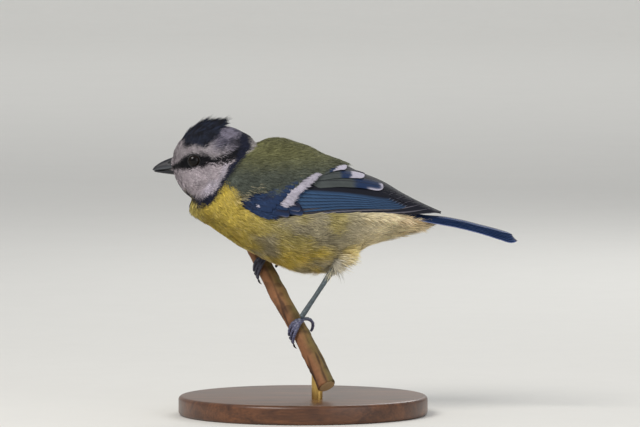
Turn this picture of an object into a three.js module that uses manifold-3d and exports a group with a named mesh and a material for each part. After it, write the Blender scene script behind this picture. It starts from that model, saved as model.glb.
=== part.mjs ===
// Blue tit on a short cut twig, held by a round base with one short rod.
// Millimetres, +Z up. The bird faces -X and its left side is towards -Y.
// The origin is the centre of the base's underside.
import * as THREE from 'three';
import { ParametricGeometry } from 'three/addons/geometries/ParametricGeometry.js';
import { mergeVertices } from 'three/addons/utils/BufferGeometryUtils.js';
import Module from 'manifold-3d';

const wasm = await Module();
wasm.setup();

// Clearance kept between pieces that meet
const GAP = 0.3;

// Display stand
const BASE_RADIUS = 39;
const BASE_HEIGHT = 6;
const BASE_BEVEL = 1.2;
const BASE_SEGMENTS = 44;
const ROD_RADIUS = 1.75;
const ROD_FOOT = 3;
const ROD_X = 4.4;
const ROD_Y = -14;
const ROD_TOP = 17;
const ROD_SIDES = 18;

// Twig: centre line from its upper cut end to its lower one, and its radius at both
const TWIG_PATH = [
  [-17.5, 15, 55.9], [-11.9, 7, 45.3], [-6.7, 0, 35.9], [-0.6, -7.5, 25.9], [7.5, -18.5, 10.3],
];
const TWIG_RADIUS_TOP = 2.55;
const TWIG_RADIUS_END = 2.85;
const TWIG_SIDES = 12;
const TWIG_RINGS = 20;
const TWIG_RIM = 0.25;
// Knots: place along the twig as a share of its length, height and spread
const TWIG_KNOTS = [[0.08, 0.35, 0.03], [0.4, 0.22, 0.02], [0.83, 0.3, 0.025]];

// Profiles: place along X, top, bottom, half width and height of the widest line
const TORSO = [
  [-35.6, 70.9, 62.8, 10, 65.9],
  [-31.6, 74.7, 61.1, 12, 65.9],
  [-27.5, 78.8, 58.4, 13.8, 66.6],
  [-21.9, 82.8, 54.5, 15.4, 67.2],
  [-14.7, 85.5, 50.8, 16.7, 67.2],
  [-9.7, 86.1, 48.6, 17.3, 66.6],
  [-2.5, 84.8, 46.1, 17.9, 65.9],
  [4.7, 81.9, 45.5, 17.6, 65.3],
  [11.6, 79.2, 48.4, 16, 65],
  [18.4, 75.6, 52.5, 13.4, 64.4],
  [25.6, 70.9, 54.7, 10.4, 63.1],
  [31.9, 65, 56.2, 6.8, 60.9],
  [35.9, 62.5, 57.8, 4.8, 60.2],
  [40, 61.1, 59.4, 2.4, 60.2],
];
const TORSO_FRONT = 4;
const TORSO_REAR = 2.5;
const HEAD = [
  [-41.2, 80.3, 75.9, 2.6, 78.1],
  [-40, 83, 74.5, 4.4, 78.1],
  [-38.8, 85.2, 72.2, 5.9, 77.8],
  [-36.9, 87, 69.7, 7.2, 77.5],
  [-34.4, 88.8, 67.7, 8.4, 77.2],
  [-31.2, 90, 66.4, 9.2, 77.2],
  [-27.5, 90.5, 67.2, 9.6, 77.8],
  [-23.4, 90, 69.7, 9.6, 79.1],
  [-19.7, 88.6, 72.2, 9, 80.3],
  [-14.1, 85.3, 77.2, 7, 82.8],
];
const HEAD_FRONT = 0.8;
const HEAD_REAR = 4;

// Collar that parts head, neck and torso: its upper and lower ends and its width
const COLLAR_TOP = [-14.1, 86.6];
const COLLAR_FOOT = [-32.2, 65.3];
const COLLAR_WIDTH = 3;

// Bill: place along X, top, bottom and half width
const BILL_UPPER = [
  [-47.03, 77, 76.69, 0.15],
  [-46.25, 77.75, 76.66, 0.55],
  [-44.69, 78.88, 76.62, 1.05],
  [-42.81, 79.81, 76.69, 1.6],
  [-40.94, 80.5, 76.88, 2.15],
  [-39.06, 80.94, 77.19, 2.4],
];
const BILL_LOWER = [
  [-46.56, 76.28, 76.1, 0.25],
  [-45.31, 76.28, 75.84, 0.75],
  [-43.44, 76.28, 75.56, 1.3],
  [-41.56, 76.38, 75.31, 1.8],
  [-39.06, 76.72, 75, 2.1],
];
const NOSTRIL = [-41.7, 1.7, 78.95];
const NOSTRIL_RADIUS = 0.38;

// Eyes and the rims of their lids
const EYE_RADIUS = 2.4;
const EYE_CENTRE = [-33.9, 6.35, 79.9];
const LID_RADIUS = 2.35;
const LID_TUBE = 0.45;
const LID_OUT = 1.75;
const LID_SIDES = 5;
const EYE_AROUND = 16;
const EYE_UP = 9;

// Crest: rows of locks from the forehead back, each with its root, rise and length
const CREST_ROWS = [
  { x: -37.2, rise: 46, length: 5.2, count: 3, spread: 3.4 },
  { x: -34.9, rise: 44, length: 5.6, count: 4, spread: 5.4 },
  { x: -32.4, rise: 34, length: 6, count: 5, spread: 7 },
  { x: -29.8, rise: 27, length: 6.4, count: 5, spread: 7.4 },
];
const CREST_FLATTEN = 0.5;
const CREST_SHORTEN = 0.25;
const CREST_GATHER = 0.06;
const LOCK_WIDTH = 1.25;
const LOCK_DEPTH = 0.5;
const LOCK_SINK = 1.5;
const LOCK_SIDES = 4;
const LOCK_RINGS = 4;
const CLAW_SIDES = 5;

// Folded wing: place along X, then out and up of its back edge, then of its lower edge
const WING = [
  [-20.3, 15, 69.4, 15.6, 67.2],
  [-16.6, 15.9, 70.3, 16.9, 64.8],
  [-12.8, 16.4, 71.6, 17.8, 63.4],
  [-7.2, 16.5, 73.4, 18.4, 63.1],
  [-0.9, 15.4, 75.3, 18.6, 63.9],
  [4.1, 12.8, 77, 18, 63.9],
  [8.4, 7.5, 78.8, 16.8, 63.9],
  [12.2, 2.5, 79.4, 15.2, 63.8],
  [17.8, 1, 77, 12.6, 63.8],
  [24.1, 0.8, 74.1, 9.8, 63.6],
  [30.3, 0.8, 70.3, 7.2, 63.3],
  [36.6, 0.8, 67, 5.2, 63.3],
  [43.4, 0.8, 63.9, 3, 63.4],
];
const WING_THICK = 2.3;
const WING_THIN = 1;
const WING_THINS_FROM = 22;
const WING_END = 3;
// Arm of the wing under the feathers: its rear end, inset of its edges and depth of its outside
const ARM_END = 25;
const ARM_INSET = 0.01;
const ARM_ACROSS = 5;
const ARM_STATIONS = 12;
const ARM_HEART = 1.15;
const ARM_DEPTH = [[-20.3, 0.3], [-10, 0.5], [0, 1.2], [16, 1.2], [25, 0.8]];
const POCKET_ACROSS = 7;
const POCKET_STATIONS = 18;
const POCKET_RAISE = 3;
const POCKET_ROOM = 0.5;
const POCKET_EDGE = 0.7;
// Behind here the layers of the wing draw together to this share of their depth
const LAYERS_CLOSE_FROM = 15;
const LAYERS_CLOSE_OVER = 12;
const LAYERS_CLOSED = 0.35;

// Feather vanes: half width, depth under the wing's outline, shape of the tip and upward bow.
// Places are along X and up, at root and tip.
const VANE_THICK = 0.52;
const VANE_ROOT_THICK = 0.95;
const VANE_TUCK = 0.4;
const VANE_SINK = 0.6;
const VANE_DEEPEST = 1.95;
const SHORT_STEPS = [0, 0.1, 0.5, 0.82, 1];
const LONG_STEPS = [0, 0.1, 0.5, 0.93, 1];
const TAIL_STEPS = [0, 0.1, 0.5, 0.955, 1];
const POINTED = [0, 0.8, 1, 0.75, 0];
const BLUNT = [0, 0.8, 1, 0.9, 0];
const PRIMARIES = {
  root: [-1, 67.2], rootStep: -0.36, half: 1.5, depth: 0.62, depthStep: 0.07, bow: 0.3,
  shape: POINTED, steps: SHORT_STEPS,
  tips: [
    [29.1, 70.2], [31.9, 68.9], [34.7, 67.6], [37.5, 66.4], [40.3, 65.1], [43.2, 63.95], [40.9, 63.5], [35.9, 63.4],
  ],
};
const SECONDARIES = {
  root: [0, 65.2], rootStep: 1.6, tip: [32.2, 65.9], tipStep: [-1.2, 0.55], count: 5,
  half: 1.75, depth: 0.62, depthStep: -0.06, bow: 1.2, steps: LONG_STEPS,
};
const TERTIALS = [
  { root: [2.8, 74.4], tip: [25.3, 71.9], half: 2.4, depth: 0.26, bow: 1, steps: LONG_STEPS },
  { root: [4.1, 75.9], tip: [19.4, 75.6], half: 2.4, depth: 0.16, bow: 0.8, steps: LONG_STEPS },
  { root: [5.9, 77.2], tip: [13.8, 78.3], half: 2.2, depth: 0.06, bow: 0.4 },
];
const GREATER_COVERTS = {
  first: [-3.7, 66.2], last: [5, 76.2], count: 8, length: 6.6, drop: 0.9,
  half: 1.35, depth: 0.15, rootDepth: 0.9,
};
const MEDIAN_COVERTS = {
  first: [-9.7, 66.4], last: [-0.9, 75], count: 6, length: 4.8, drop: 0.6,
  half: 1.4, depth: 0.05, rootDepth: 0.7,
};
const PRIMARY_COVERTS = [
  { root: [-9.4, 65.9], tip: [0.2, 64.7], half: 1.05, depth: 0.35, bow: 0.2 },
  { root: [-9.4, 66.8], tip: [-0.6, 66], half: 1.05, depth: 0.25, bow: 0.2 },
];
const ALULA = { root: [-13, 65.4], tip: [-4.1, 64.2], half: 1, depth: 0.1, bow: 0.2 };

// Closed tail: place along X, top, bottom and half width of its outline
const TAIL = [
  [28.8, 65.47, 63.12, 3.6],
  [31.9, 64.53, 62.34, 3.9],
  [35, 63.59, 61.56, 4.2],
  [38.1, 63, 60.78, 4.6],
  [43.1, 62.6, 59.91, 5.1],
  [49.1, 61.56, 58.75, 5.6],
  [55.3, 60, 57.19, 6],
  [61.6, 58.34, 55.22, 6.3],
  [65.3, 57.03, 54.1, 6.3],
  [66.9, 55.94, 54.2, 6],
];
const TAIL_ARCH = 0.9;
const TAIL_ROOM = 0.4;
const TAIL_POCKET_RINGS = 12;
const TAIL_POCKET_SIDES = 16;
const TAIL_POCKET_SQUARE = 0.35;
const TAIL_PAIRS = 6;
const TAIL_FEATHER_HALF = 2.3;
const TAIL_FEATHER_SHARE = 0.42;
const TAIL_MIDDLE_OUT = 0.15;
const TAIL_TIP_NOTCH = 0.3;
const TAIL_TILT = 0.35;
const TAIL_STAGGER = 0.18;

// Legs: centre lines and radii of thigh and tarsus
const THIGH_LEFT = [[12.6, -9.6, 57], [11, -9.6, 51.5], [9.6, -9.6, 47], [8.8, -9.6, 44.6]];
const THIGH_LEFT_RADII = [3.8, 3.5, 2.3, 1.5];
const THIGH_RIGHT = [[-4.5, 8.2, 57], [-6.2, 7.8, 53.2], [-7.6, 7.2, 50.4]];
const THIGH_RIGHT_RADII = [3.4, 3.1, 1.8];
const TARSUS_LEFT = [[9.6, -9.6, 46.6], [4.4, -9.3, 38.6], [-0.7, -9.1, 30.9]];
const TARSUS_RIGHT = [[-6.4, 7.6, 53.2], [-9.2, 6.6, 51.2], [-11.6, 5.5, 49.7]];
const TARSUS_RADII = [1.05, 0.75, 0.95];

// Feet: place of each foot along the twig as a share of its length
const FOOT_LEFT = 0.664;
const FOOT_RIGHT = 0.24;
const TOE_RADIUS = 0.68;
const TOE_TIP_RADIUS = 0.5;
const TOE_SIDES = 6;
const TOE_RINGS = 9;
const CLAW_RADIUS = 0.4;
const CLAW_LENGTH = 2.6;
const CLAW_RINGS = 6;
const PAD_RADIUS = 1.05;
// Each toe runs round the twig: turn in degrees from its top, height over the bark, shift along it
const PAD = [8, 1.25, -2.5];
const FRONT_TOE = [[30, 1.25, -1.9], [65, 1.25, -0.7], [100, 1.1, 0.5], [132, 0.95, 1.4], [158, 0.85, 2]];
const TOE_SPREAD = [-1.5, 0, 1.5];
const HIND_TOE = [[-18, 1.6, -2.6], [-48, 2.1, -2], [-78, 2, -1.2], [-108, 1.3, -0.6], [-135, 0.85, -0.3]];

const COLOURS = {
  yellow: 0xb99f45, crown: 0x3f4c68, navy: 0x1d2536, horn: 0x3b3d42, eye: 0x0b0a0a,
  wing: 0x4b5a72, tail: 0x3d5579, thigh: 0xa5a08a, leg: 0x66727f, claw: 0x2c2b2e, bark: 0x7a5a35,
  brass: 0xb08d4c, walnut: 0x4a3122,
};

// Smooth course through rows of numbers, the first of each row being its place
function course(rows) {
  const last = rows.length - 1;
  const slope = (i, k) => (rows[i + 1][k] - rows[i][k]) / (rows[i + 1][0] - rows[i][0]);
  const lean = (i, k) => {
    if (i === 0) return slope(0, k);
    if (i === last) return slope(last - 1, k);
    const before = slope(i - 1, k);
    const after = slope(i, k);
    return before * after <= 0 ? 0 : 2 * before * after / (before + after);
  };
  return (place) => {
    const x = Math.min(Math.max(place, rows[0][0]), rows[last][0]);
    let i = 0;
    while (i < last - 1 && x > rows[i + 1][0]) i += 1;
    const span = rows[i + 1][0] - rows[i][0];
    const t = (x - rows[i][0]) / span;
    return rows[i].slice(1).map((start, n) => {
      const k = n + 1;
      const end = rows[i + 1][k];
      const a = lean(i, k) * span;
      const b = lean(i + 1, k) * span;
      return start + t * (a + t * (3 * (end - start) - 2 * a - b + t * (a + b - 2 * (end - start))));
    });
  };
}

// Share of full size at a distance from an end that is rounded over a length
const rounded = (distance, length) => (
  distance >= length ? 1 : Math.sqrt(Math.max(0, 1 - (1 - distance / length) ** 2))
);

// Even steps from 0 to 1, closer together near both ends
const eased = (i, count) => (1 - Math.cos(Math.PI * i / count)) / 2;

// Closed body over a list of rings, whose first and last rings shrink to a point. The faces in
// the columns named are split along their other diagonal.
function bodyOver(rings, crossed = []) {
  const sides = rings[0].length;
  const stacks = rings.length - 1;
  const surface = new ParametricGeometry((u, v, target) => {
    target.copy(rings[Math.round(v * stacks)][Math.round(u * sides) % sides]);
  }, sides, stacks);
  const corners = surface.index;
  for (let quad = 0; quad < sides * stacks; quad += 1) {
    if (crossed.includes(quad % sides)) {
      const [a, b, d, , c] = [0, 1, 2, 3, 4].map((k) => corners.getX(quad * 6 + k));
      [a, b, c, a, c, d].forEach((corner, k) => corners.setX(quad * 6 + k, corner));
    }
  }
  return solid(surface);
}

// Solid of a closed geometry, turned to face outward
function solid(geometry) {
  geometry.deleteAttribute('normal');
  geometry.deleteAttribute('uv');
  const merged = mergeVertices(geometry, 1e-4);
  const place = merged.attributes.position;
  const corner = (i) => new THREE.Vector3().fromBufferAttribute(place, i);
  const faces = [];
  let volume = 0;
  for (let i = 0; i < merged.index.count; i += 3) {
    const [a, b, c] = [0, 1, 2].map((k) => merged.index.getX(i + k));
    if (a !== b && b !== c && c !== a) {
      faces.push([a, b, c]);
      volume += corner(a).dot(corner(b).cross(corner(c)));
    }
  }
  const triVerts = Uint32Array.from(faces.flatMap(([a, b, c]) => (volume > 0 ? [a, b, c] : [a, c, b])));
  const vertProperties = Float32Array.from(place.array);
  return new wasm.Manifold(new wasm.Mesh({ numProp: 3, vertProperties, triVerts }));
}

// Largest closed piece of a solid
function largest(piece) {
  const parts = piece.decompose();
  return parts.reduce((a, b) => (Math.abs(a.volume()) >= Math.abs(b.volume()) ? a : b));
}

// Rings of an egg-shaped body along X from a profile
function profileRings(rows, front, rear, sides, count) {
  const at = course(rows);
  const first = rows[0][0];
  const end = rows[rows.length - 1][0];
  return Array.from({ length: count + 1 }, (_, i) => {
    const x = first + (end - first) * eased(i, count);
    const [top, bottom, half, belt] = at(x);
    const size = rounded(x - first, front) * rounded(end - x, rear);
    return Array.from({ length: sides }, (_, k) => {
      const turn = 2 * Math.PI * k / sides;
      const up = Math.cos(turn);
      const reach = up > 0 ? top - belt : belt - bottom;
      return new THREE.Vector3(x, half * size * Math.sin(turn), belt + size * reach * up);
    });
  });
}

// Rings of a bill half: arched on its outer side and flat along the mouth line
function billRings(rows, arch, sides, count, grow) {
  const at = course(rows);
  const first = rows[0][0] - grow;
  const end = rows[rows.length - 1][0] + grow;
  return Array.from({ length: count + 1 }, (_, i) => {
    const x = first + (end - first) * eased(i, count);
    const [top, bottom, half] = at(x);
    const size = i === 0 || i === count ? 0 : 1;
    const middle = (top + bottom) / 2;
    return Array.from({ length: sides }, (_, k) => {
      const turn = 2 * Math.PI * k / sides;
      const side = (half + grow) * Math.cos(turn) * size;
      const up = Math.sin(turn) * arch;
      const flat = arch > 0 ? bottom - grow : top + grow;
      const z = up * arch > 0 ? flat + (top + 2 * grow - bottom) * up : flat;
      return new THREE.Vector3(x, side, size === 0 ? middle : z);
    });
  });
}

// Rings of a round limb along a curve, from one share of its length to another
function limbRings(curve, from, to, radiusAt, sides, count, grow = 0) {
  const steps = 40;
  const frames = curve.computeFrenetFrames(steps, false);
  const length = curve.getLength();
  const start = from - grow / length;
  const end = to + grow / length;
  return Array.from({ length: count + 1 }, (_, i) => {
    const share = start + (end - start) * eased(i, count);
    const held = Math.min(Math.max(share, 0), 1);
    const centre = curve.getPointAt(held);
    centre.addScaledVector(curve.getTangentAt(held), (share - held) * length);
    const frame = Math.round(held * steps);
    const radius = radiusAt((held - from) / (to - from)) + grow;
    const fromEnd = Math.min(share - start, end - share) * length;
    const size = radius * rounded(fromEnd, radius);
    return Array.from({ length: sides }, (_, k) => {
      const turn = 2 * Math.PI * k / sides;
      return centre.clone()
        .addScaledVector(frames.normals[frame], size * Math.cos(turn))
        .addScaledVector(frames.binormals[frame], size * Math.sin(turn));
    });
  });
}

const curveThrough = (points) => new THREE.CatmullRomCurve3(points.map((p) => new THREE.Vector3(...p)));

// Radius along a limb through evenly spaced values
const through = (radii) => {
  const at = course(radii.map((radius, i) => [i / (radii.length - 1), radius]));
  return (share) => at(share)[0];
};

// Twig
const twigCurve = curveThrough(TWIG_PATH);
const twigLength = twigCurve.getLength();

function twigRadius(share) {
  const plain = TWIG_RADIUS_TOP + (TWIG_RADIUS_END - TWIG_RADIUS_TOP) * share;
  return TWIG_KNOTS.reduce((sum, [place, height, spread]) => (
    sum + height * Math.exp(-(((share - place) / spread) ** 2))
  ), plain);
}

function twigBody(grow) {
  const frames = twigCurve.computeFrenetFrames(TWIG_RINGS, false);
  const ring = (share, size, shift) => {
    const held = Math.min(Math.max(share, 0), 1);
    const centre = twigCurve.getPointAt(held).addScaledVector(twigCurve.getTangentAt(held), shift);
    const frame = Math.round(held * TWIG_RINGS);
    const radius = (twigRadius(held) + grow) * size;
    return Array.from({ length: TWIG_SIDES }, (_, k) => {
      const turn = 2 * Math.PI * k / TWIG_SIDES;
      return centre.clone()
        .addScaledVector(frames.normals[frame], radius * Math.cos(turn))
        .addScaledVector(frames.binormals[frame], radius * Math.sin(turn));
    });
  };
  const rim = TWIG_RIM / twigLength;
  const rings = [ring(0, 0, -grow), ring(0, 1 - TWIG_RIM / TWIG_RADIUS_TOP, -grow)];
  for (let i = 0; i <= TWIG_RINGS; i += 1) {
    rings.push(ring(rim + (1 - 2 * rim) * i / TWIG_RINGS, 1, 0));
  }
  rings.push(ring(1, 1 - TWIG_RIM / TWIG_RADIUS_END, grow), ring(1, 0, grow));
  return bodyOver(rings);
}

// Point beside the twig: turn from its top, height over the bark and shift along it
function besideTwig(share, degrees, height, shift) {
  const centre = twigCurve.getPointAt(share);
  const along = twigCurve.getTangentAt(share);
  const up = new THREE.Vector3(0, 0, 1).addScaledVector(along, -along.z).normalize();
  const side = new THREE.Vector3().crossVectors(along, up);
  const turn = THREE.MathUtils.degToRad(degrees);
  const radius = twigRadius(share) + height;
  return centre.addScaledVector(along, shift)
    .addScaledVector(up, radius * Math.cos(turn))
    .addScaledVector(side, radius * Math.sin(turn));
}

// Head and torso in one, then parted by the collar
const collarTop = new THREE.Vector3(COLLAR_TOP[0], 0, COLLAR_TOP[1]);
const collarLine = new THREE.Vector3(COLLAR_FOOT[0], 0, COLLAR_FOOT[1]).sub(collarTop).normalize();
const towardsHead = new THREE.Vector3(collarLine.z, 0, -collarLine.x);
const FAR = 300;

// Everything on the head's side of the collar plane set off by an amount
function headSide(offset) {
  const block = new THREE.BoxGeometry(FAR, FAR, FAR);
  block.rotateY(Math.atan2(-towardsHead.z, towardsHead.x));
  const middle = collarTop.clone().addScaledVector(towardsHead, FAR / 2 + offset);
  block.translate(middle.x, middle.y, middle.z);
  return solid(block);
}

const TORSO_SIDES = 28;
const TORSO_COUNT = 24;
const HEAD_SIDES = 24;
const HEAD_COUNT = 16;
const flesh = bodyOver(profileRings(TORSO, TORSO_FRONT, TORSO_REAR, TORSO_SIDES, TORSO_COUNT))
  .add(bodyOver(profileRings(HEAD, HEAD_FRONT, HEAD_REAR, HEAD_SIDES, HEAD_COUNT)));
let head = flesh.intersect(headSide(GAP));
const neck = flesh.intersect(headSide(-COLLAR_WIDTH)).subtract(headSide(0));
let torso = flesh.subtract(headSide(-COLLAR_WIDTH - GAP));

// Bill
const BILL_SIDES = 12;
const BILL_COUNT = 9;
const upperBill = (grow) => bodyOver(billRings(BILL_UPPER, 1, BILL_SIDES, BILL_COUNT, grow));
const lowerBill = (grow) => bodyOver(billRings(BILL_LOWER, -1, BILL_SIDES, BILL_COUNT, grow));
const nostrils = [1, -1].map((side) => {
  const pit = new THREE.SphereGeometry(NOSTRIL_RADIUS, 8, 6);
  pit.translate(NOSTRIL[0], side * NOSTRIL[1], NOSTRIL[2]);
  return solid(pit);
});
const billUpper = upperBill(0).subtract(nostrils[0]).subtract(nostrils[1]);
const billLower = lowerBill(0);

// Crest locks on the crown
const headAt = course(HEAD);
function crownPoint(x, y) {
  const [top, , half, belt] = headAt(x);
  return new THREE.Vector3(x, y, belt + (top - belt) * Math.sqrt(Math.max(0, 1 - (y / half) ** 2)));
}

function lock(root, direction, length) {
  const out = new THREE.Vector3(0, root.y * 0.5, 1).normalize();
  const across = new THREE.Vector3().crossVectors(direction, out).normalize();
  const over = new THREE.Vector3().crossVectors(across, direction).normalize();
  return bodyOver(Array.from({ length: LOCK_RINGS + 1 }, (_, i) => {
    const share = i / LOCK_RINGS;
    const bend = 0.5 * share * share;
    const centre = root.clone().addScaledVector(direction, share * (length + LOCK_SINK) - LOCK_SINK)
      .addScaledVector(over, bend);
    const size = i === 0 || i === LOCK_RINGS ? 0 : Math.sqrt(1 - share ** 2.4);
    return Array.from({ length: LOCK_SIDES }, (_, k) => {
      const turn = 2 * Math.PI * k / LOCK_SIDES;
      return centre.clone()
        .addScaledVector(across, LOCK_WIDTH * size * Math.cos(turn))
        .addScaledVector(over, LOCK_DEPTH * size * Math.sin(turn));
    });
  }));
}

for (const row of CREST_ROWS) {
  for (let i = 0; i < row.count; i += 1) {
    const y = row.spread * (i / (row.count - 1) - 0.5);
    const aside = Math.abs(y) / row.spread;
    const rise = THREE.MathUtils.degToRad(row.rise * (1 - CREST_FLATTEN * aside));
    const direction = new THREE.Vector3(Math.cos(rise), -CREST_GATHER * y, Math.sin(rise)).normalize();
    head = head.add(lock(crownPoint(row.x, y), direction, row.length * (1 - CREST_SHORTEN * aside)));
  }
}

// Lids, eye sockets and the root of the bill cut into the head
for (const side of [1, -1]) {
  const lid = new THREE.TorusGeometry(LID_RADIUS, LID_TUBE, LID_SIDES, EYE_AROUND);
  lid.rotateX(Math.PI / 2);
  lid.translate(EYE_CENTRE[0], side * (EYE_CENTRE[1] + LID_OUT), EYE_CENTRE[2]);
  const socket = new THREE.SphereGeometry(EYE_RADIUS + GAP, EYE_AROUND, EYE_UP);
  socket.translate(EYE_CENTRE[0], side * EYE_CENTRE[1], EYE_CENTRE[2]);
  head = head.add(solid(lid)).subtract(solid(socket));
}
head = head.subtract(upperBill(GAP)).subtract(lowerBill(GAP));

function eyeball(side) {
  const ball = new THREE.SphereGeometry(EYE_RADIUS, EYE_AROUND, EYE_UP);
  ball.translate(EYE_CENTRE[0], side * EYE_CENTRE[1], EYE_CENTRE[2]);
  return solid(ball);
}

// Point of the folded wing: place along X, share from back edge to lower edge, lift off the
// surface and rise along it
const wingAt = course(WING);
const torsoAt = course(TORSO);
function wingPoint(x, share, lift, rise = 0) {
  const turn = share * Math.PI / 2;
  const [outTop, upTop, outLow, upLow] = wingAt(x);
  const out = outTop + (outLow - outTop) * Math.sin(turn);
  const up = (upTop - upLow) * Math.cos(turn);
  const arch = Math.max(upTop, torsoAt(x)[0]) - upLow;
  const normal = new THREE.Vector3(0, out / outLow ** 2, up / arch ** 2).normalize();
  const slope = new THREE.Vector3(0, -normal.z, normal.y);
  return new THREE.Vector3(x, out, upLow + up).addScaledVector(normal, lift).addScaledVector(slope, rise);
}

const armDepth = course(ARM_DEPTH);
const wingFirst = WING[0][0];
const wingLast = WING[WING.length - 1][0];

function wingDepth(x) {
  const share = Math.max(0, (x - WING_THINS_FROM) / (wingLast - WING_THINS_FROM));
  return WING_THICK + (WING_THIN - WING_THICK) * share;
}

// Closed form between two depths of the wing, from its front to a rear end, with its edges set
// in by a share of its width and then moved out, and its ends moved out by grow
function wingForm(side, end, inset, stations, around, outerAt, innerAt, grow, edge) {
  return bodyOver(Array.from({ length: stations + 1 }, (_, i) => {
    const x = wingFirst + (end - wingFirst) * eased(i, stations);
    const size = rounded(x - wingFirst, WING_END) * rounded(end - x, WING_END);
    const heart = wingPoint(x, 0.5, -ARM_HEART);
    const across = (k, lift) => {
      const share = inset + (1 - 2 * inset) * k / (around - 1);
      return wingPoint(x, share, lift, edge * (Number(k === 0) - Number(k === around - 1)));
    };
    const outer = Array.from({ length: around }, (_, k) => across(k, -outerAt(x)));
    const inner = Array.from({ length: around }, (_, k) => across(around - 1 - k, -innerAt(x)));
    return [...outer, ...inner].map((point) => {
      point.lerpVectors(heart, point, size);
      point.x += grow * (1 - size) * Math.sign(i - stations / 2);
      point.y *= side;
      return point;
    });
  }));
}

// Room that the wing needs in the torso
const wingPocket = (side) => wingForm(
  side, wingLast, 0, POCKET_STATIONS, POCKET_ACROSS, () => -POCKET_RAISE, (x) => wingDepth(x) + POCKET_ROOM,
  POCKET_ROOM, POCKET_EDGE,
);

// Length across the wing's surface, and the share of it at a given height
function wingSpan(x) {
  const steps = 6;
  return Array.from({ length: steps }, (_, k) => (
    wingPoint(x, k / steps, 0).distanceTo(wingPoint(x, (k + 1) / steps, 0))
  )).reduce((sum, piece) => sum + piece);
}

function wingShare(x, z) {
  const [, upTop, , upLow] = wingAt(x);
  const up = Math.min(Math.max((z - upLow) / (upTop - upLow), 0), 1);
  return Math.acos(up) * 2 / Math.PI;
}

// Depth of a layer, less towards the wing tip
function layerDepth(x, depth) {
  const share = Math.min(Math.max((x - LAYERS_CLOSE_FROM) / LAYERS_CLOSE_OVER, 0), 1);
  return depth * (1 - (1 - LAYERS_CLOSED) * share);
}

// Feather vane on the wing: back edge tucked under, lower edge free
function wingVane(side, {
  root, tip, half, depth, bow, shape = BLUNT, steps = SHORT_STEPS, rootDepth = depth + VANE_SINK,
}) {
  return bodyOver(steps.map((share, i) => {
    const x = root[0] + (tip[0] - root[0]) * share;
    const z = root[1] + (tip[1] - root[1]) * share + bow * Math.sin(Math.PI * share);
    const middle = wingShare(x, z);
    const reach = half * shape[i] / wingSpan(x);
    const sunk = depth + (rootDepth - depth) * (1 - share) ** 2;
    const thick = VANE_ROOT_THICK + (VANE_THICK - VANE_ROOT_THICK) * Math.min(1, share * 2);
    const corner = (turn, under) => {
      const place = Math.min(Math.max(middle + turn * reach, 0), 1);
      const tuck = VANE_TUCK * (1 - turn) / 2 * shape[i];
      const top = layerDepth(x, Math.min(sunk + tuck, VANE_DEEPEST - thick));
      const point = wingPoint(x, place, -top - thick * (shape[i] > 0 ? under : 0.5));
      point.y *= side;
      return point;
    };
    return [corner(-1, 0), corner(1, 0), corner(1, 1), corner(-1, 1)];
  }), [2]);
}

// Rows of coverts from the lower edge of the wing up to its back edge
function covertRow({ first, last, count, length, drop, half, depth, rootDepth }) {
  return Array.from({ length: count }, (_, i) => {
    const share = i / (count - 1);
    const tip = [first[0] + (last[0] - first[0]) * share, first[1] + (last[1] - first[1]) * share];
    return { root: [tip[0] - length, tip[1] + drop], tip, half, depth, bow: 0, rootDepth };
  });
}

function wing(side) {
  const primaries = PRIMARIES.tips.map((tip, i) => ({
    ...PRIMARIES,
    root: [PRIMARIES.root[0], PRIMARIES.root[1] + i * PRIMARIES.rootStep],
    tip,
    depth: PRIMARIES.depth + i * PRIMARIES.depthStep,
  }));
  const secondaries = Array.from({ length: SECONDARIES.count }, (_, i) => ({
    ...SECONDARIES,
    root: [SECONDARIES.root[0], SECONDARIES.root[1] + i * SECONDARIES.rootStep],
    tip: [SECONDARIES.tip[0] + i * SECONDARIES.tipStep[0], SECONDARIES.tip[1] + i * SECONDARIES.tipStep[1]],
    depth: SECONDARIES.depth + i * SECONDARIES.depthStep,
  }));
  const outside = (x) => armDepth(x)[0];
  const inside = (x) => wingDepth(x) - GAP;
  const arm = wingForm(side, ARM_END, ARM_INSET, ARM_STATIONS, ARM_ACROSS, outside, inside, 0, 0);
  return [
    ...primaries, ...secondaries, ...TERTIALS, ...PRIMARY_COVERTS, ALULA,
    ...covertRow(GREATER_COVERTS), ...covertRow(MEDIAN_COVERTS),
  ].reduce((body, vane) => body.add(wingVane(side, vane)), arm);
}

// Room that the closed tail needs in the torso
function tailPocket() {
  const at = course(TAIL);
  const first = TAIL[0][0] - GAP;
  const end = TAIL[TAIL.length - 1][0];
  return bodyOver(Array.from({ length: TAIL_POCKET_RINGS + 1 }, (_, i) => {
    const share = Math.max(i - 1, 0) / (TAIL_POCKET_RINGS - 1);
    const x = first + (end - first) * share;
    const [top, bottom, half] = at(x);
    const size = i === 0 || i === TAIL_POCKET_RINGS ? 0 : 1;
    const middle = (top + bottom) / 2;
    return Array.from({ length: TAIL_POCKET_SIDES }, (_, k) => {
      const turn = 2 * Math.PI * (k + 0.5) / TAIL_POCKET_SIDES;
      const [out, up] = [Math.cos(turn), Math.sin(turn)].map((part) => (
        Math.sign(part) * Math.abs(part) ** TAIL_POCKET_SQUARE
      ));
      return new THREE.Vector3(
        x,
        (half + TAIL_ROOM) * out * size,
        middle + size * (((top - bottom) / 2 + TAIL_ROOM) * up - TAIL_ARCH * out * out + TAIL_ARCH / 2),
      );
    });
  }));
}

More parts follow.
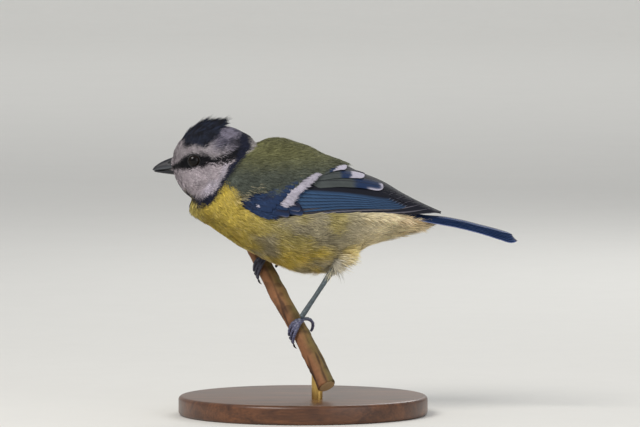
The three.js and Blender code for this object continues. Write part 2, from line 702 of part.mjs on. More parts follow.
// Tail feathers in pairs, the middle pair on top and each next one lower and further out
function tailVane(side, pair) {
  const at = course(TAIL);
  const first = TAIL[0][0] + GAP;
  const end = TAIL[TAIL.length - 1][0] - TAIL_TIP_NOTCH * (TAIL_PAIRS - 1 - pair);
  const rank = pair / (TAIL_PAIRS - 1);
  return bodyOver(TAIL_STEPS.map((share, i) => {
    const x = first + (end - first) * share;
    const [top, bottom, half] = at(x);
    const reach = Math.min(TAIL_FEATHER_HALF, half * TAIL_FEATHER_SHARE);
    const width = reach * BLUNT[i];
    const middle = side * (TAIL_MIDDLE_OUT + (1 - TAIL_MIDDLE_OUT) * rank) * (half - reach);
    const room = top - bottom - TAIL_ARCH - VANE_THICK;
    const level = top - TAIL_ARCH / 2 - room * rank - (side > 0 ? TAIL_STAGGER : 0);
    const corner = (turn, under) => {
      const y = middle + turn * width;
      const drop = TAIL_ARCH * (y / half) ** 2 / 2 + TAIL_TILT * (side * turn + 1) / 2 * BLUNT[i];
      return new THREE.Vector3(x, y, level - drop - VANE_THICK * (BLUNT[i] > 0 ? under : 0.5));
    };
    return [corner(-1, 0), corner(1, 0), corner(1, 1), corner(-1, 1)];
  }), [2]);
}

function tail() {
  const pairs = Array.from({ length: TAIL_PAIRS }, (_, pair) => [tailVane(-1, pair), tailVane(1, pair)]);
  return pairs.flat().reduce((body, vane) => body.add(vane));
}

// Legs
const limbBody = (points, radii, sides, count, grow = 0) => (
  bodyOver(limbRings(curveThrough(points), 0, 1, through(radii), sides, count, grow))
);
const LIMB_SIDES = 10;
const LIMB_COUNT = 9;
const TARSUS_SIDES = 8;
const tarsusBody = (points, grow) => limbBody(points, TARSUS_RADII, TARSUS_SIDES, LIMB_COUNT, grow);
const thigh = (points, radii, tarsus) => (
  limbBody(points, radii, LIMB_SIDES, LIMB_COUNT).subtract(tarsusBody(tarsus, GAP))
);

// Toe with its claw as one curve round the twig, and the share of it that is toe
function toeCurve(place, turns, spread) {
  const points = [PAD, ...turns].map(([degrees, height, shift], i) => (
    besideTwig(place, degrees, height, shift + spread * Math.min(1, i / 2)).toArray()
  ));
  return curveThrough(points);
}

const twigClear = twigBody(GAP);

function toeAndClaw(place, turns, spread) {
  const curve = toeCurve(place, turns, spread);
  const length = curve.getLength();
  const toeEnd = (length - CLAW_LENGTH - GAP) / length;
  const toeRadius = (share) => (
    (TOE_RADIUS + (TOE_TIP_RADIUS - TOE_RADIUS) * share) * (1 + 0.09 * Math.cos(share * 6 * Math.PI))
  );
  const clawRadius = (share) => CLAW_RADIUS * Math.max(0.12, 1 - share ** 1.6);
  const toe = (grow) => bodyOver(limbRings(curve, 0, toeEnd, toeRadius, TOE_SIDES, TOE_RINGS, grow));
  const clawStart = toeEnd + GAP / length;
  const claw = bodyOver(limbRings(curve, clawStart, 1, clawRadius, CLAW_SIDES, CLAW_RINGS));
  return { toe, claw };
}

function foot(place, tarsus) {
  const ankleEnd = new THREE.Vector3(...tarsus[tarsus.length - 1]);
  const padCurve = curveThrough([ankleEnd.toArray(), besideTwig(place, ...PAD).toArray(),
    besideTwig(place, FRONT_TOE[0][0], FRONT_TOE[0][1], FRONT_TOE[0][2]).toArray()]);
  const pad = (grow) => bodyOver(limbRings(padCurve, 0, 1, () => PAD_RADIUS, TOE_SIDES, TOE_RINGS, grow));
  let body = pad(0);
  let clear = pad(GAP);
  const toes = TOE_SPREAD.map((spread) => toeAndClaw(place, FRONT_TOE, spread));
  toes.push(toeAndClaw(place, HIND_TOE, 0));
  toes.forEach(({ toe }) => {
    body = body.add(toe(0));
    clear = clear.add(toe(GAP));
  });
  body = body.subtract(twigClear).subtract(tarsusBody(tarsus, GAP));
  return { body, clear, claws: toes.map(({ claw }) => claw) };
}

const footLeft = foot(FOOT_LEFT, TARSUS_LEFT);
const footRight = foot(FOOT_RIGHT, TARSUS_RIGHT);

// Pockets in the torso for wings, tail, thighs and twig
torso = torso.subtract(wingPocket(1)).subtract(wingPocket(-1))
  .subtract(tailPocket())
  .subtract(limbBody(THIGH_LEFT, THIGH_LEFT_RADII, LIMB_SIDES, LIMB_COUNT, GAP))
  .subtract(limbBody(THIGH_RIGHT, THIGH_RIGHT_RADII, LIMB_SIDES, LIMB_COUNT, GAP))
  .subtract(tarsusBody(TARSUS_RIGHT, GAP))
  .subtract(footRight.clear)
  .subtract(twigClear);

// Stand
function turned(outline, segments) {
  const profile = outline.map(([x, y]) => new THREE.Vector2(x, y));
  return solid(new THREE.LatheGeometry(profile, segments).rotateX(Math.PI / 2));
}

const rodPlace = (piece) => piece.translate([ROD_X, ROD_Y, 0]);
const rodBlank = (grow) => rodPlace(turned([
  [0, ROD_FOOT - grow], [ROD_RADIUS + grow, ROD_FOOT - grow], [ROD_RADIUS + grow, ROD_TOP], [0, ROD_TOP],
], ROD_SIDES));
const standRod = rodBlank(0).subtract(twigClear);
const standBase = turned([
  [0, 0],
  [BASE_RADIUS, 0],
  [BASE_RADIUS, BASE_HEIGHT - BASE_BEVEL],
  [BASE_RADIUS - BASE_BEVEL, BASE_HEIGHT],
  [0, BASE_HEIGHT],
], BASE_SEGMENTS).subtract(rodBlank(GAP));

// Named meshes
const model = new THREE.Group();

function node(name, piece, color, roughness, metalness = 0) {
  const { vertProperties, triVerts } = largest(piece).getMesh();
  const geometry = new THREE.BufferGeometry();
  geometry.setAttribute('position', new THREE.BufferAttribute(Float32Array.from(vertProperties), 3));
  geometry.setIndex(Array.from(triVerts));
  geometry.computeVertexNormals();
  const mesh = new THREE.Mesh(geometry, new THREE.MeshStandardMaterial({ color, roughness, metalness }));
  mesh.name = name;
  model.add(mesh);
}

node('torso', torso, COLOURS.yellow, 0.9);
node('neck', neck, COLOURS.navy, 0.9);
node('head', head, COLOURS.crown, 0.9);
node('bill_upper', billUpper, COLOURS.horn, 0.5);
node('bill_lower', billLower, COLOURS.horn, 0.5);
node('eye_left', eyeball(-1), COLOURS.eye, 0.1);
node('eye_right', eyeball(1), COLOURS.eye, 0.1);
node('wing_left', wing(-1), COLOURS.wing, 0.8);
node('wing_right', wing(1), COLOURS.wing, 0.8);
node('tail', tail(), COLOURS.tail, 0.8);
node('thigh_left', thigh(THIGH_LEFT, THIGH_LEFT_RADII, TARSUS_LEFT), COLOURS.thigh, 0.9);
const thighRight = thigh(THIGH_RIGHT, THIGH_RIGHT_RADII, TARSUS_RIGHT).subtract(footRight.clear);
node('thigh_right', thighRight, COLOURS.thigh, 0.9);
node('tarsus_left', tarsusBody(TARSUS_LEFT, 0), COLOURS.leg, 0.6);
node('tarsus_right', tarsusBody(TARSUS_RIGHT, 0), COLOURS.leg, 0.6);
node('foot_left', footLeft.body, COLOURS.leg, 0.6);
node('foot_right', footRight.body, COLOURS.leg, 0.6);
[['left', footLeft], ['right', footRight]].forEach(([side, { claws }]) => {
  claws.forEach((claw, i) => node(`claw_${side}_${i + 1}`, claw, COLOURS.claw, 0.4));
});
node('perch', twigBody(0), COLOURS.bark, 0.9);
node('stand_rod', standRod, COLOURS.brass, 0.3, 1);
node('stand_base', standBase, COLOURS.walnut, 0.5);

export default model;
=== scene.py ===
"""A blue tit, life size, gripping a cut twig on a small museum stand."""

import itertools

import bmesh
import bpy
import numpy as np
from mathutils import Matrix, Vector


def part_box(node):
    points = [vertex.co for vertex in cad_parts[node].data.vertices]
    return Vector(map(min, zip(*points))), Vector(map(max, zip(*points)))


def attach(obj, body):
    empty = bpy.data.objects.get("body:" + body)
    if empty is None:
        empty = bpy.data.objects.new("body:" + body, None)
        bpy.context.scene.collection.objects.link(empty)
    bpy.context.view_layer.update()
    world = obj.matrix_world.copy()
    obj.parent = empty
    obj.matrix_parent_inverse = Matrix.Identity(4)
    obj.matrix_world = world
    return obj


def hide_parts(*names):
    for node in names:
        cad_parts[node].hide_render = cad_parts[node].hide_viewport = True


bl_info = {
    "name": "Blue tit on a display stand",
    "version": (1, 0, 0),
    "blender": (4, 5, 0),
    "location": "3D View > Sidebar > Bird",
    "description": "Skin, plumage, bill, eyes, feet, twig, stand and studio of a life-size blue tit",
    "category": "Object",
}

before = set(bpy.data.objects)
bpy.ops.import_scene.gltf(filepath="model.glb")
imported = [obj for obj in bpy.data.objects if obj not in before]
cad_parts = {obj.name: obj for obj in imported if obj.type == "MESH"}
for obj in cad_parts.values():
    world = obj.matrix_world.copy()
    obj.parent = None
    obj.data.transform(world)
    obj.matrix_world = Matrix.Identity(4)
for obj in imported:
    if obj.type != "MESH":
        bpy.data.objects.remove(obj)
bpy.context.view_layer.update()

MM = 0.001
BODY = "root"
UP = np.array([0.0, 0.0, 1.0])
SIDES = {"left": -1, "right": 1}

# Forms of the body in millimetres: x, top, bottom, half width, belt height
TORSO = [
    (-35.6, 70.9, 62.8, 10, 65.9), (-31.6, 74.7, 61.1, 12, 65.9), (-27.5, 78.8, 58.4, 13.8, 66.6),
    (-21.9, 82.8, 54.5, 15.4, 67.2), (-14.7, 85.5, 50.8, 16.7, 67.2), (-9.7, 86.1, 48.6, 17.3, 66.6),
    (-2.5, 84.8, 46.1, 17.9, 65.9), (4.7, 81.9, 45.5, 17.6, 65.3), (11.6, 79.2, 48.4, 16, 65),
    (18.4, 75.6, 52.5, 13.4, 64.4), (25.6, 70.9, 54.7, 10.4, 63.1), (31.9, 65, 56.2, 6.8, 60.9),
    (35.9, 62.5, 57.8, 4.8, 60.2), (40, 61.1, 59.4, 2.4, 60.2),
]
TORSO_FRONT = 4
TORSO_REAR = 2.5
HEAD = [
    (-41.2, 80.3, 75.9, 2.6, 78.1), (-40, 83, 74.5, 4.4, 78.1), (-38.8, 85.2, 72.2, 5.9, 77.8),
    (-36.9, 87, 69.7, 7.2, 77.5), (-34.4, 88.8, 67.7, 8.4, 77.2), (-31.2, 90, 66.4, 9.2, 77.2),
    (-27.5, 90.5, 67.2, 9.6, 77.8), (-23.4, 90, 69.7, 9.6, 79.1), (-19.7, 88.6, 72.2, 9, 80.3),
    (-14.1, 85.3, 77.2, 7, 82.8),
]
HEAD_FRONT = 0.8
HEAD_REAR = 4
THIGHS = {
    "left": ([(12.6, -8.4, 57), (11, -8.8, 51.5), (9.6, -9.4, 47), (8.8, -9.6, 44.6)], (2.6, 2.5, 1.9, 1.25)),
    "right": ([(-4.5, 8.2, 57), (-6.2, 7.8, 53.2), (-7.6, 7.2, 50.4)], (3.4, 3.1, 1.8)),
}
BILL_ROOT = np.array([-39.5, 0.0, 78.2])
BILL_UPPER = [
    (-47.03, 77, 76.69, 0.15), (-46.25, 77.75, 76.66, 0.55), (-44.69, 78.88, 76.62, 1.05),
    (-42.81, 79.81, 76.69, 1.6), (-40.94, 80.5, 76.88, 2.15), (-39.06, 80.94, 77.19, 2.4),
]
BILL_LOWER = [
    (-46.56, 76.28, 76.1, 0.25), (-45.31, 76.28, 75.84, 0.75), (-43.44, 76.28, 75.56, 1.3),
    (-41.56, 76.38, 75.31, 1.8), (-39.06, 76.72, 75, 2.1),
]
NOSTRIL = (-41.7, 1.75, 78.95)
EYE_RADIUS = 2.4
EYE_CENTRE = (-33.9, 6.35, 79.9)
LID_RADIUS = 1.86
LID_TUBE = 0.22
LID_OUT = 1.5
# A half of the bill is widest at this share of its depth from the cutting edge
BILL_BELT = 0.22

# Folded wing: x, half width and height of its back edge, half width and height of its lower edge
WING = [
    (-20.3, 15, 69.4, 15.6, 67.2), (-16.6, 15.9, 70.3, 16.9, 64.8), (-12.8, 16.4, 71.6, 17.8, 63.4),
    (-7.2, 16.5, 73.4, 18.4, 63.1), (-0.9, 15.4, 75.3, 18.6, 63.9), (4.1, 12.8, 77, 18, 63.9),
    (8.4, 7.5, 78.8, 16.8, 63.9), (12.2, 2.5, 79.4, 15.2, 63.8), (17.8, 1, 77, 12.6, 63.8),
    (24.1, 0.8, 74.1, 9.8, 63.6), (30.3, 0.8, 70.3, 7.2, 63.3), (36.6, 0.8, 67, 5.2, 63.3),
    (43.4, 0.8, 63.9, 3, 63.4),
]
# White bar on the greater coverts: share of its length, x, z, half width
WING_BAR = [
    (0, -5.3, 66.9, 0.8), (0.14, -4.4, 68.1, 1.35), (0.3, -3.1, 70, 1.4), (0.46, -1.6, 71.6, 1.3),
    (0.64, 0.6, 73.1, 1.1), (0.84, 2.8, 75, 0.8), (1, 4.7, 76.6, 0.4),
]
# How far a vane's back edge is tucked in, and how deep the skin lies under the wing
WING_TUCK = 0.4
WING_FLOOR = 2.1
# The layers of vanes close up towards the wing tip: from x, over a length, to a share
LAYERS_CLOSE_FROM = 15
LAYERS_CLOSE_OVER = 12
LAYERS_CLOSED = 0.35
# Tips of the primaries, from the innermost to the outermost: x, z
PRIMARY_TIPS = [
    (29.1, 70.2), (31.9, 68.9), (34.7, 67.6), (37.5, 66.4), (40.3, 65.1), (43.2, 63.95), (40.9, 63.5),
    (35.9, 63.4),
]
SECONDARIES = 6
# Tertials and primary coverts: root and tip (x, z), half width, depth, bow, kind, seed
WING_SINGLES = [
    ((2.8, 74.4), (25.3, 71.9), 2.4, 0.26, 1, "tertial", 70),
    ((4.1, 75.9), (19.4, 75.4), 2.1, 0.16, 0.8, "second_tertial", 71),
    ((5.9, 77.2), (13.8, 78.3), 2.2, 0.06, 0.4, "third_tertial", 72),
    ((-9.4, 65.9), (0.2, 64.7), 1.05, 0.35, 0.2, "primary_covert", 75),
    ((-9.4, 66.8), (-0.6, 66), 1.05, 0.25, 0.2, "primary_covert", 76),
    ((-13, 65.4), (-4.1, 64.2), 1, 0.1, 0.2, "primary_covert", 77),
]
# Rows of coverts: count, first tip, way to the last tip, way to the root, half width, depths, kind, seed
COVERT_ROWS = [
    (10, (-4.3, 67.1), (9.4, 9.4), (-6.6, 0.9), 1.55, (0.17, 0.9), "greater", 80),
    (9, (-9.4, 66), (9.2, 9), (-4.8, 0.6), 1.25, (0.07, 0.7), "median", 95),
]
# Little coverts at the bend, the pale spot among them (x, z), and loose barbs on the bar
SMALL_COVERTS = 2300
SMALL_COVERT_SPOT = (-13.6, 66.0)
BAR_TUFTS = 260

# Closed tail: x, top, bottom, half width
TAIL = [
    (28.8, 65.47, 63.12, 3.6), (31.9, 64.53, 62.34, 3.9), (35, 63.59, 61.56, 4.2), (38.1, 63, 60.78, 4.6),
    (43.1, 62.6, 59.91, 5.1), (49.1, 61.56, 58.75, 5.6), (55.3, 60, 57.19, 6), (61.6, 58.34, 55.22, 6.3),
    (65.3, 57.03, 54.1, 6.3), (66.9, 55.94, 54.2, 6),
]
# Pairs of feathers, rise of the tail's arch, and a feather's half width, at most and as a share of the tail's
TAIL_PAIRS = 6
TAIL_ARCH = 0.9
TAIL_FEATHER_HALF = 2.3
TAIL_FEATHER_SHARE = 0.42

# Crest rows: x of the roots, rise in degrees, length, spread across the crown
CREST = [
    (-37.4, 47, 5.0, 3.6), (-35.8, 44, 5.4, 5), (-33.8, 38, 5.6, 6.2), (-31.6, 31, 5.6, 7.2),
    (-29.4, 26, 5.2, 7.6),
]
# Feathers of the crest, and how far behind the last row their roots still lie
CREST_COUNT = 420
CREST_BEHIND = 2.5

# Marks seen from the side: x, z, half width
EYE_STRIPE = [
    (-40, 77.8, 0.78), (-38.4, 78.3, 1), (-36.9, 78.6, 1.6), (-35.3, 79.3, 2.3), (-33.8, 79.7, 2.6),
    (-32.2, 80, 2.45), (-30.6, 80.2, 1.75), (-29.1, 80, 1.2), (-27.5, 79.9, 1.05), (-25.3, 80.1, 1.0),
    (-23.4, 80.7, 1.2), (-21.6, 81.7, 1.4), (-19.7, 82.8, 1.6),
]
TEMPLE = [(-25.6, 83.4, 0.4), (-22.6, 84.7, 0.8), (-19.6, 85.8, 1.1)]
COLLAR = [
    (-18.8, 87.2, 1.25), (-18.4, 84.4, 1.56), (-18.8, 81.9, 1.72), (-20, 79.7, 1.41), (-21.6, 77.5, 0.94),
    (-23.1, 75.3, 0.62), (-24.4, 73.1, 0.5), (-25.6, 70.9, 0.62), (-27.2, 69.1, 0.94), (-29.4, 67.3, 1.25),
    (-31.2, 66.7, 1.09), (-32.8, 67.5, 0.62), (-34.7, 69.1, 0.38), (-35.9, 70.3, 0.25),
]
NAPE_SPOT = [(-15.9, 86.2, 1.25), (-16.2, 83.4, 1.25), (-16.9, 80.6, 0.94)]
CHEEK_LIGHTS = [
    (-23.8, 78.1, 0.9), (-24.1, 75.9, 0.9), (-25.3, 72.8, 0.8), (-28.1, 71.6, 1.2), (-29.7, 69.6, 1.2),
]

# Edges between fields of colour seen from the side: x, z
HEAD_EDGE = [
    (-45, 66), (-37, 70.2), (-35.9, 70.3), (-31.2, 66.7), (-29.4, 67.3), (-27.2, 69.1), (-25.6, 70.9),
    (-24.4, 73.1), (-23.1, 75.3), (-21.6, 77.5), (-20, 79.7), (-18.8, 81.9), (-17.9, 85), (-17.2, 95),
]
CROWN_EDGE = [
    (-37.5, 83.8), (-35.3, 83.8), (-33.1, 84.4), (-30.6, 83.8), (-29.1, 84.5), (-27.2, 86.1),
    (-25.3, 88.4), (-23.4, 90.3),
]
MANTLE_EDGE = [(-40, 76), (-24.4, 73.1), (-20.3, 70.3), (-17.2, 66.2), (0, 65), (28, 63.6), (45, 61.6)]

# Where a colour fades in, from one x, y or z to another
BREAST_FRONT_X = (-29, -35)
FLANK_X, FLANK_Z = (-22, -4), (50, 58)
PATCH_X = (-24, -12)
VENT_X = (8, 24)
BELLY_LINE_X, BELLY_LINE_Y, BELLY_LINE_Z = (-22, -8), (3.4, 0.4), (62, 58)
UNDER_TAIL_X = (26, 34)
THIGH_FRONT_X, THIGH_REAR_X, THIGH_Z = (4, 7), (19, 16), (50.5, 48)
# Painted light: the underside grows lighter from the first height down to the second, as if lit from below
UNDERSIDE_PAINTED_LIGHT_Z = (57, 48)
MANTLE_Z = (74, 82)
RUMP_X = (12, 24)
BROW_Z = (79, 81)
FLECK_X = (-24, -30)
NAPE_X, NAPE_Z, NAPE_SPOT_Y = (-30, -25.5), (81.5, 84.5), (9, 7)
DAPPLE_X, DAPPLE_Z = (-29.5, -26), (80.5, 84)
CROWN_FRONT_X, CROWN_REAR_X = (-37.7, -35.9), (-21.3, -23.7)
CHIN_FRONT_X, CHIN_REAR_X, CHIN_Y, CHIN_Z = (-40, -39), (-26, -28), (1.9, 1.1), (75.5, 74.5)

# Coat tables: depth and length on the head by distance from the bill, length of tufts and of wisps on the
# body by x, width of a tuft's barbs by its length
COAT_DEPTH = [(0, 0.25), (4, 0.4), (12, 0.7), (22, 0.9), (34, 1.0)]
HEAD_LENGTH = [(2, 1.3), (5, 1.5), (9, 2.1), (16, 2.8), (24, 3.2)]
BODY_LENGTH = [(-36, 3.8), (-24, 4.6), (-5, 5.6), (20, 6.4), (36, 7)]
WISP_LENGTH = [(-33, 4.5), (-20, 5.5), (0, 7.5), (28, 7)]
BARB_WIDTH = [(0.8, 0.15), (2, 0.21), (4, 0.27), (6.5, 0.3)]
# Bounds of the coat: x of the thigh's middle, x that no tuft passes, share inside the wing that is bare
THIGH_MIDDLE = 9
COAT_REAR = 41.5
WING_BARES = 0.35
# Bounds of the tracts: upward part of the normal on the back, height of the crown, x of belly and vent
BACK_SLOPE = 0.25
CROWN_ABOVE = 79.5
BELLY_FROM = -12
VENT_FROM = 6
# Lie of the coat: x where it turns straight back, x where the wing's edge calms it, reach of the bristles
LIE_BACK_X = (-24, -6)
LIE_CALM_X = (-21, -19)
BRISTLE_REACH = 3.4
# How far the edges of the colours and the dark lines at the eye wander
EDGE_WANDER = 0.9
LINE_WANDER = 0.3

# Share of the leg's colour on each side: the far foot lies in the belly's shade
LEG_SHADE = {"left": 1, "right": 0.4}
# Linear colours of the painted shade in the seam at the cutting edge and in the nostril, and of the brown
# ring in the eye
SEAM_AND_NOSTRIL_SHADE = (0.004, 0.004, 0.005)
EYE_RING = (0.009, 0.006, 0.004)

# Studio in metres: half of the floor's width, height and bend of the wall
FLOOR_HALF = 4.6
WALL_HEIGHT = 5
WALL_BEND = 1.4
# Camera in millimetres: width of its sensor, and the middle of its view at the bird
SENSOR = 36
VIEW_CENTRE = (5.3, 0, 63)


def paint(red, green, blue):
    """The linear colour of an 8-bit display colour."""
    shares = [part / 255 for part in (red, green, blue)]
    return tuple(((part + 0.055) / 1.055) ** 2.4 if part > 0.04 else part / 12.92 for part in shares)


def colour_property(name, description, colour):
    """A colour that the panel shows."""
    return bpy.props.FloatVectorProperty(
        name=name, description=description, default=colour, size=3, min=0, max=1, subtype="COLOR")


def number_property(name, description, value, **settings):
    """A number that the panel shows."""
    return bpy.props.FloatProperty(name=name, description=description, default=value, **settings)


def length_property(name, description, value, **settings):
    """A length in metres that the panel shows."""
    return number_property(name, description, value, unit="LENGTH", precision=5, **settings)


class BirdPlumage(bpy.types.PropertyGroup):
    """Colours of the plumage and how thickly it grows."""

    crown: colour_property("Crown", "Blue-grey of the cap", paint(32, 38, 54))
    streaks: colour_property("Streaks", "Black of the eye stripe and crown streaks", paint(14, 14, 20))
    brow: colour_property("Brow", "Pinkish white over the eye", paint(166, 158, 161))
    cheek: colour_property("Cheek", "Pinkish grey white of the cheek", paint(184, 173, 178))
    nape: colour_property("Nape", "Lavender grey behind the crown", paint(120, 116, 138))
    collar: colour_property("Collar", "Navy of the collar and bib", paint(26, 30, 50))
    mantle: colour_property("Mantle", "Olive green of the back", paint(112, 112, 68))
    mantle_low: colour_property("Lower mantle", "Grey green over the wing", paint(78, 84, 74))
    rump: colour_property("Rump", "Yellow green of the rump", paint(118, 122, 66))
    breast: colour_property("Breast", "Yellow of the breast", paint(194, 170, 46))
    breast_front: colour_property("Front of breast", "Duller olive yellow at the front", paint(166, 154, 78))
    flank: colour_property("Flank", "Olive yellow of the flank", paint(158, 148, 92))
    grey_patch: colour_property("Grey patches", "Grey down that shows on the flank", paint(150, 142, 122))
    vent: colour_property("Vent", "Cream of the vent", paint(238, 222, 178))
    under_tail: colour_property("Under tail", "Peach under the tail", paint(222, 190, 142))
    thigh: colour_property("Thigh", "Greyish white of the thigh", paint(176, 172, 158))
    wing_blue: colour_property("Wing blue", "Slate blue of the coverts", paint(30, 48, 80))
    web_blue: colour_property("Web blue", "Blue of the flight feather edges", paint(50, 76, 108))
    dark: colour_property("Dark webs", "Black brown of the inner webs", paint(24, 25, 34))
    white: colour_property("Feather tips", "Lavender white of tips and bars", paint(200, 194, 208))
    tertial: colour_property("Tertials", "Olive grey of the inner flight feathers", paint(74, 79, 78))
    tail_blue: colour_property("Tail blue", "Blue of the tail", paint(32, 70, 128))
    head_density: number_property("Head tufts", "Tufts on a square millimetre of head", 8.5, min=1, max=20)
    body_density: number_property("Body tufts", "Tufts on a square millimetre of body", 4.4, min=1, max=12)
    skin_cell: length_property("Skin cell", "Cell of the skin's mesh", 0.6 * MM, min=0.2 * MM, max=2 * MM)


class BirdHorn(bpy.types.PropertyGroup):
    """Colours of the bill, eyes, legs and claws."""

    bill: colour_property("Bill", "Dark horn of the bill", paint(28, 29, 35))
    # Painted highlight: paler slate along the lower part of the upper bill, by the cutting edge
    bill_highlight: colour_property("Bill edge", "Paler slate along the cutting edge", paint(88, 92, 96))
    iris: colour_property("Eye", "Near black of the eye", paint(10, 8, 8))
    lid: colour_property("Lid", "Dark grey of the lid", paint(6, 6, 9))
    leg: colour_property("Leg", "Grey of the leg scales", paint(80, 92, 98))
    toes: colour_property("Toes", "Blue grey of the toes", paint(86, 87, 114))
    claw: colour_property("Claw", "Dark horn of the claws", paint(56, 54, 58))
    leg_cell: length_property("Leg cell", "Cell of the leg's mesh", 0.13 * MM, min=0.05 * MM, max=1 * MM)


class BirdStand(bpy.types.PropertyGroup):
    """Colours of the twig and the stand."""

    bark: colour_property("Bark", "Brown of the bark", paint(134, 92, 62))
    bark_dark: colour_property("Bark furrows", "Dark brown of the furrows and knots", paint(56, 38, 28))
    bark_green: colour_property("Bark algae", "Olive green on the shaded side", paint(98, 96, 52))
    heartwood: colour_property("Cut ends", "Pale wood of the cut ends", paint(196, 168, 124))
    wood: colour_property("Base", "Dark walnut of the base", paint(64, 38, 24))
    wood_light: colour_property("Base grain", "Lighter walnut between the grain", paint(112, 70, 42))
    brass: colour_property("Rod", "Brass of the rod", paint(206, 170, 98))


class BirdStage(bpy.types.PropertyGroup):
    """The studio."""

    floor: colour_property("Floor", "Pale floor and backdrop", paint(226, 225, 220))
    key_power: number_property("Key light", "Power of the key light", 6.6, min=0, unit="POWER")
    fill_power: number_property("Fill light", "Power of the fill light", 2.2, min=0, unit="POWER")
    backdrop_power: number_property("Backdrop light", "Power on the backdrop", 26, min=0, unit="POWER")
    elevation: number_property("Camera height", "Angle over the horizon", np.radians(3.5), subtype="ANGLE")
    lens: number_property("Lens", "Focal length in millimetres", 400, min=50, max=1000)
    view_width: length_property("View width", "Width of the view at the bird", 200 * MM)


def course(rows, at):
    """The rows' columns at the given places, on monotone cubics through the rows."""
    rows = np.asarray(rows, float)
    knots, values = rows[:, 0], rows[:, 1:]
    gap = np.diff(knots)[:, None]
    slope = np.diff(values, axis=0) / gap
    tangent = np.zeros_like(values)
    same = slope[:-1] * slope[1:] > 0
    before, after = 2 * gap[1:] + gap[:-1], gap[1:] + 2 * gap[:-1]
    inverse = before / np.where(same, slope[:-1], 1) + after / np.where(same, slope[1:], 1)
    tangent[1:-1] = np.where(same, (before + after) / np.where(same, inverse, 1), 0)
    tangent[0], tangent[-1] = slope[0], slope[-1]
    at = np.clip(np.asarray(at, float), knots[0], knots[-1])
    cell = np.clip(np.searchsorted(knots, at, side="right") - 1, 0, len(knots) - 2)
    share = ((at - knots[cell]) / gap[cell, 0])[..., None]
    span = gap[cell]
    square, cube = share ** 2, share ** 3
    start = (2 * cube - 3 * square + 1) * values[cell] + (cube - 2 * square + share) * span * tangent[cell]
    return start + (3 * square - 2 * cube) * values[cell + 1] + (cube - square) * span * tangent[cell + 1]


def columns(rows, at):
    """The columns of a course, one array each."""
    return np.moveaxis(course(rows, at), -1, 0)


def table_value(table, at):
    """The value of a table of pairs at the given places, on straight lines."""
    return np.interp(at, *np.array(table).T)


def step(value, low, high):
    """0 at low, 1 at high, smooth between and level beyond."""
    share = np.clip((value - low) / (high - low), 0, 1)
    return share * share * (3 - 2 * share)


def unit(vectors):
    """The vectors at length 1."""
    return vectors / np.maximum(np.linalg.norm(vectors, axis=-1, keepdims=True), 1e-9)


def on_side(place, side):
    """A place of the right side, or its mirror image on the left."""
    return np.array([place[0], side * place[1], place[2]])


def rounded(distance, length):
    """Size of a closing end: 0 at the end, 1 past the length."""
    return np.sqrt(np.clip(1 - (1 - np.clip(distance / length, 0, 1)) ** 2, 0, 1))


def grain(points, cell, seed):
    """Smooth noise from 0 to 1 with cells of the given size."""
    place = points / np.asarray(cell)
    base = np.floor(place)
    share = place - base
    share = share * share * (3 - 2 * share)
    total = np.zeros(len(points))
    for corner in itertools.product((0, 1), repeat=3):
        weight = np.prod(np.where(corner, share, 1 - share), axis=1)
        mixed = (base + corner) @ np.array([127.1, 311.7, 74.7]) + seed * 53.3
        total += weight * np.modf(np.abs(np.sin(mixed) * 43758.5453))[0]
    return total


def line_mask(side, path, soft):
    """1 on a line of varying half width, 0 away from it."""
    path = np.asarray(path, float)
    nearest = np.full(len(side), np.inf)
    for start, end in zip(path[:-1], path[1:]):
        run = end[:2] - start[:2]
        share = np.clip((side - start[:2]) @ run / (run @ run), 0, 1)
        gap = np.linalg.norm(side - start[:2] - share[:, None] * run, axis=1)
        nearest = np.minimum(nearest, gap - start[2] - share * (end[2] - start[2]))
    return step(-nearest, -soft, soft)


def layered(base, *layers):
    """Colours at points or on a grid: a base and then pairs of colour and share laid over it."""
    colours = np.array(np.broadcast_to(np.asarray(base, float), (*layers[0][1].shape, 3)))
    for colour, share in layers:
        colours += (np.asarray(colour) - colours) * share[..., None]
    return colours


def head_share(points):
    """1 on the head, 0 on the body, parted at the collar."""
    return step(points[:, 2] - table_value(HEAD_EDGE, points[:, 0]), -0.7, 0.7)


def body_colours(points, side, tone):
    """Breast, flank, belly, vent and thigh, with the mantle, the rump and the nape spot over them."""
    sx, sz = side.T
    across = np.abs(points[:, 1])
    patch = step(grain(points, (5, 5, 3.5), 9), 0.35, 0.7)
    under = layered(
        tone.breast,
        (tone.breast_front, step(sx, *BREAST_FRONT_X) * 0.8),
        (tone.flank, step(sx, *FLANK_X) * step(sz, *FLANK_Z) * 0.8),
        (tone.grey_patch, patch * step(sx, *PATCH_X) * 0.75),
        (tone.vent, step(sx + 0.3 * (55 - sz), *VENT_X) * 0.9),
        (tone.vent, step(across, *BELLY_LINE_Y) * step(sx, *BELLY_LINE_X) * step(sz, *BELLY_LINE_Z) * 0.7),
        (tone.under_tail, step(sx, *UNDER_TAIL_X) * 0.5),
        (tone.thigh, step(sz, *THIGH_Z) * step(sx, *THIGH_FRONT_X) * step(sx, *THIGH_REAR_X) * 0.9))
    # Random unevenness of tone, and painted light that brightens the underside
    under *= (0.86 + 0.28 * grain(points, (3.5, 1.2, 1.0), 15) + 0.34 * step(sz, *UNDERSIDE_PAINTED_LIGHT_Z))[:, None]
    mantle = layered(tone.mantle_low, (tone.mantle, step(sz, *MANTLE_Z)), (tone.rump, step(sx, *RUMP_X)))
    back = step(sz - table_value(MANTLE_EDGE, sx), -0.9, 0.9)
    spot = line_mask(side, NAPE_SPOT, 0.9) * step(across, *NAPE_SPOT_Y) * 0.8
    return layered(under, (mantle, back), (tone.brow, spot))


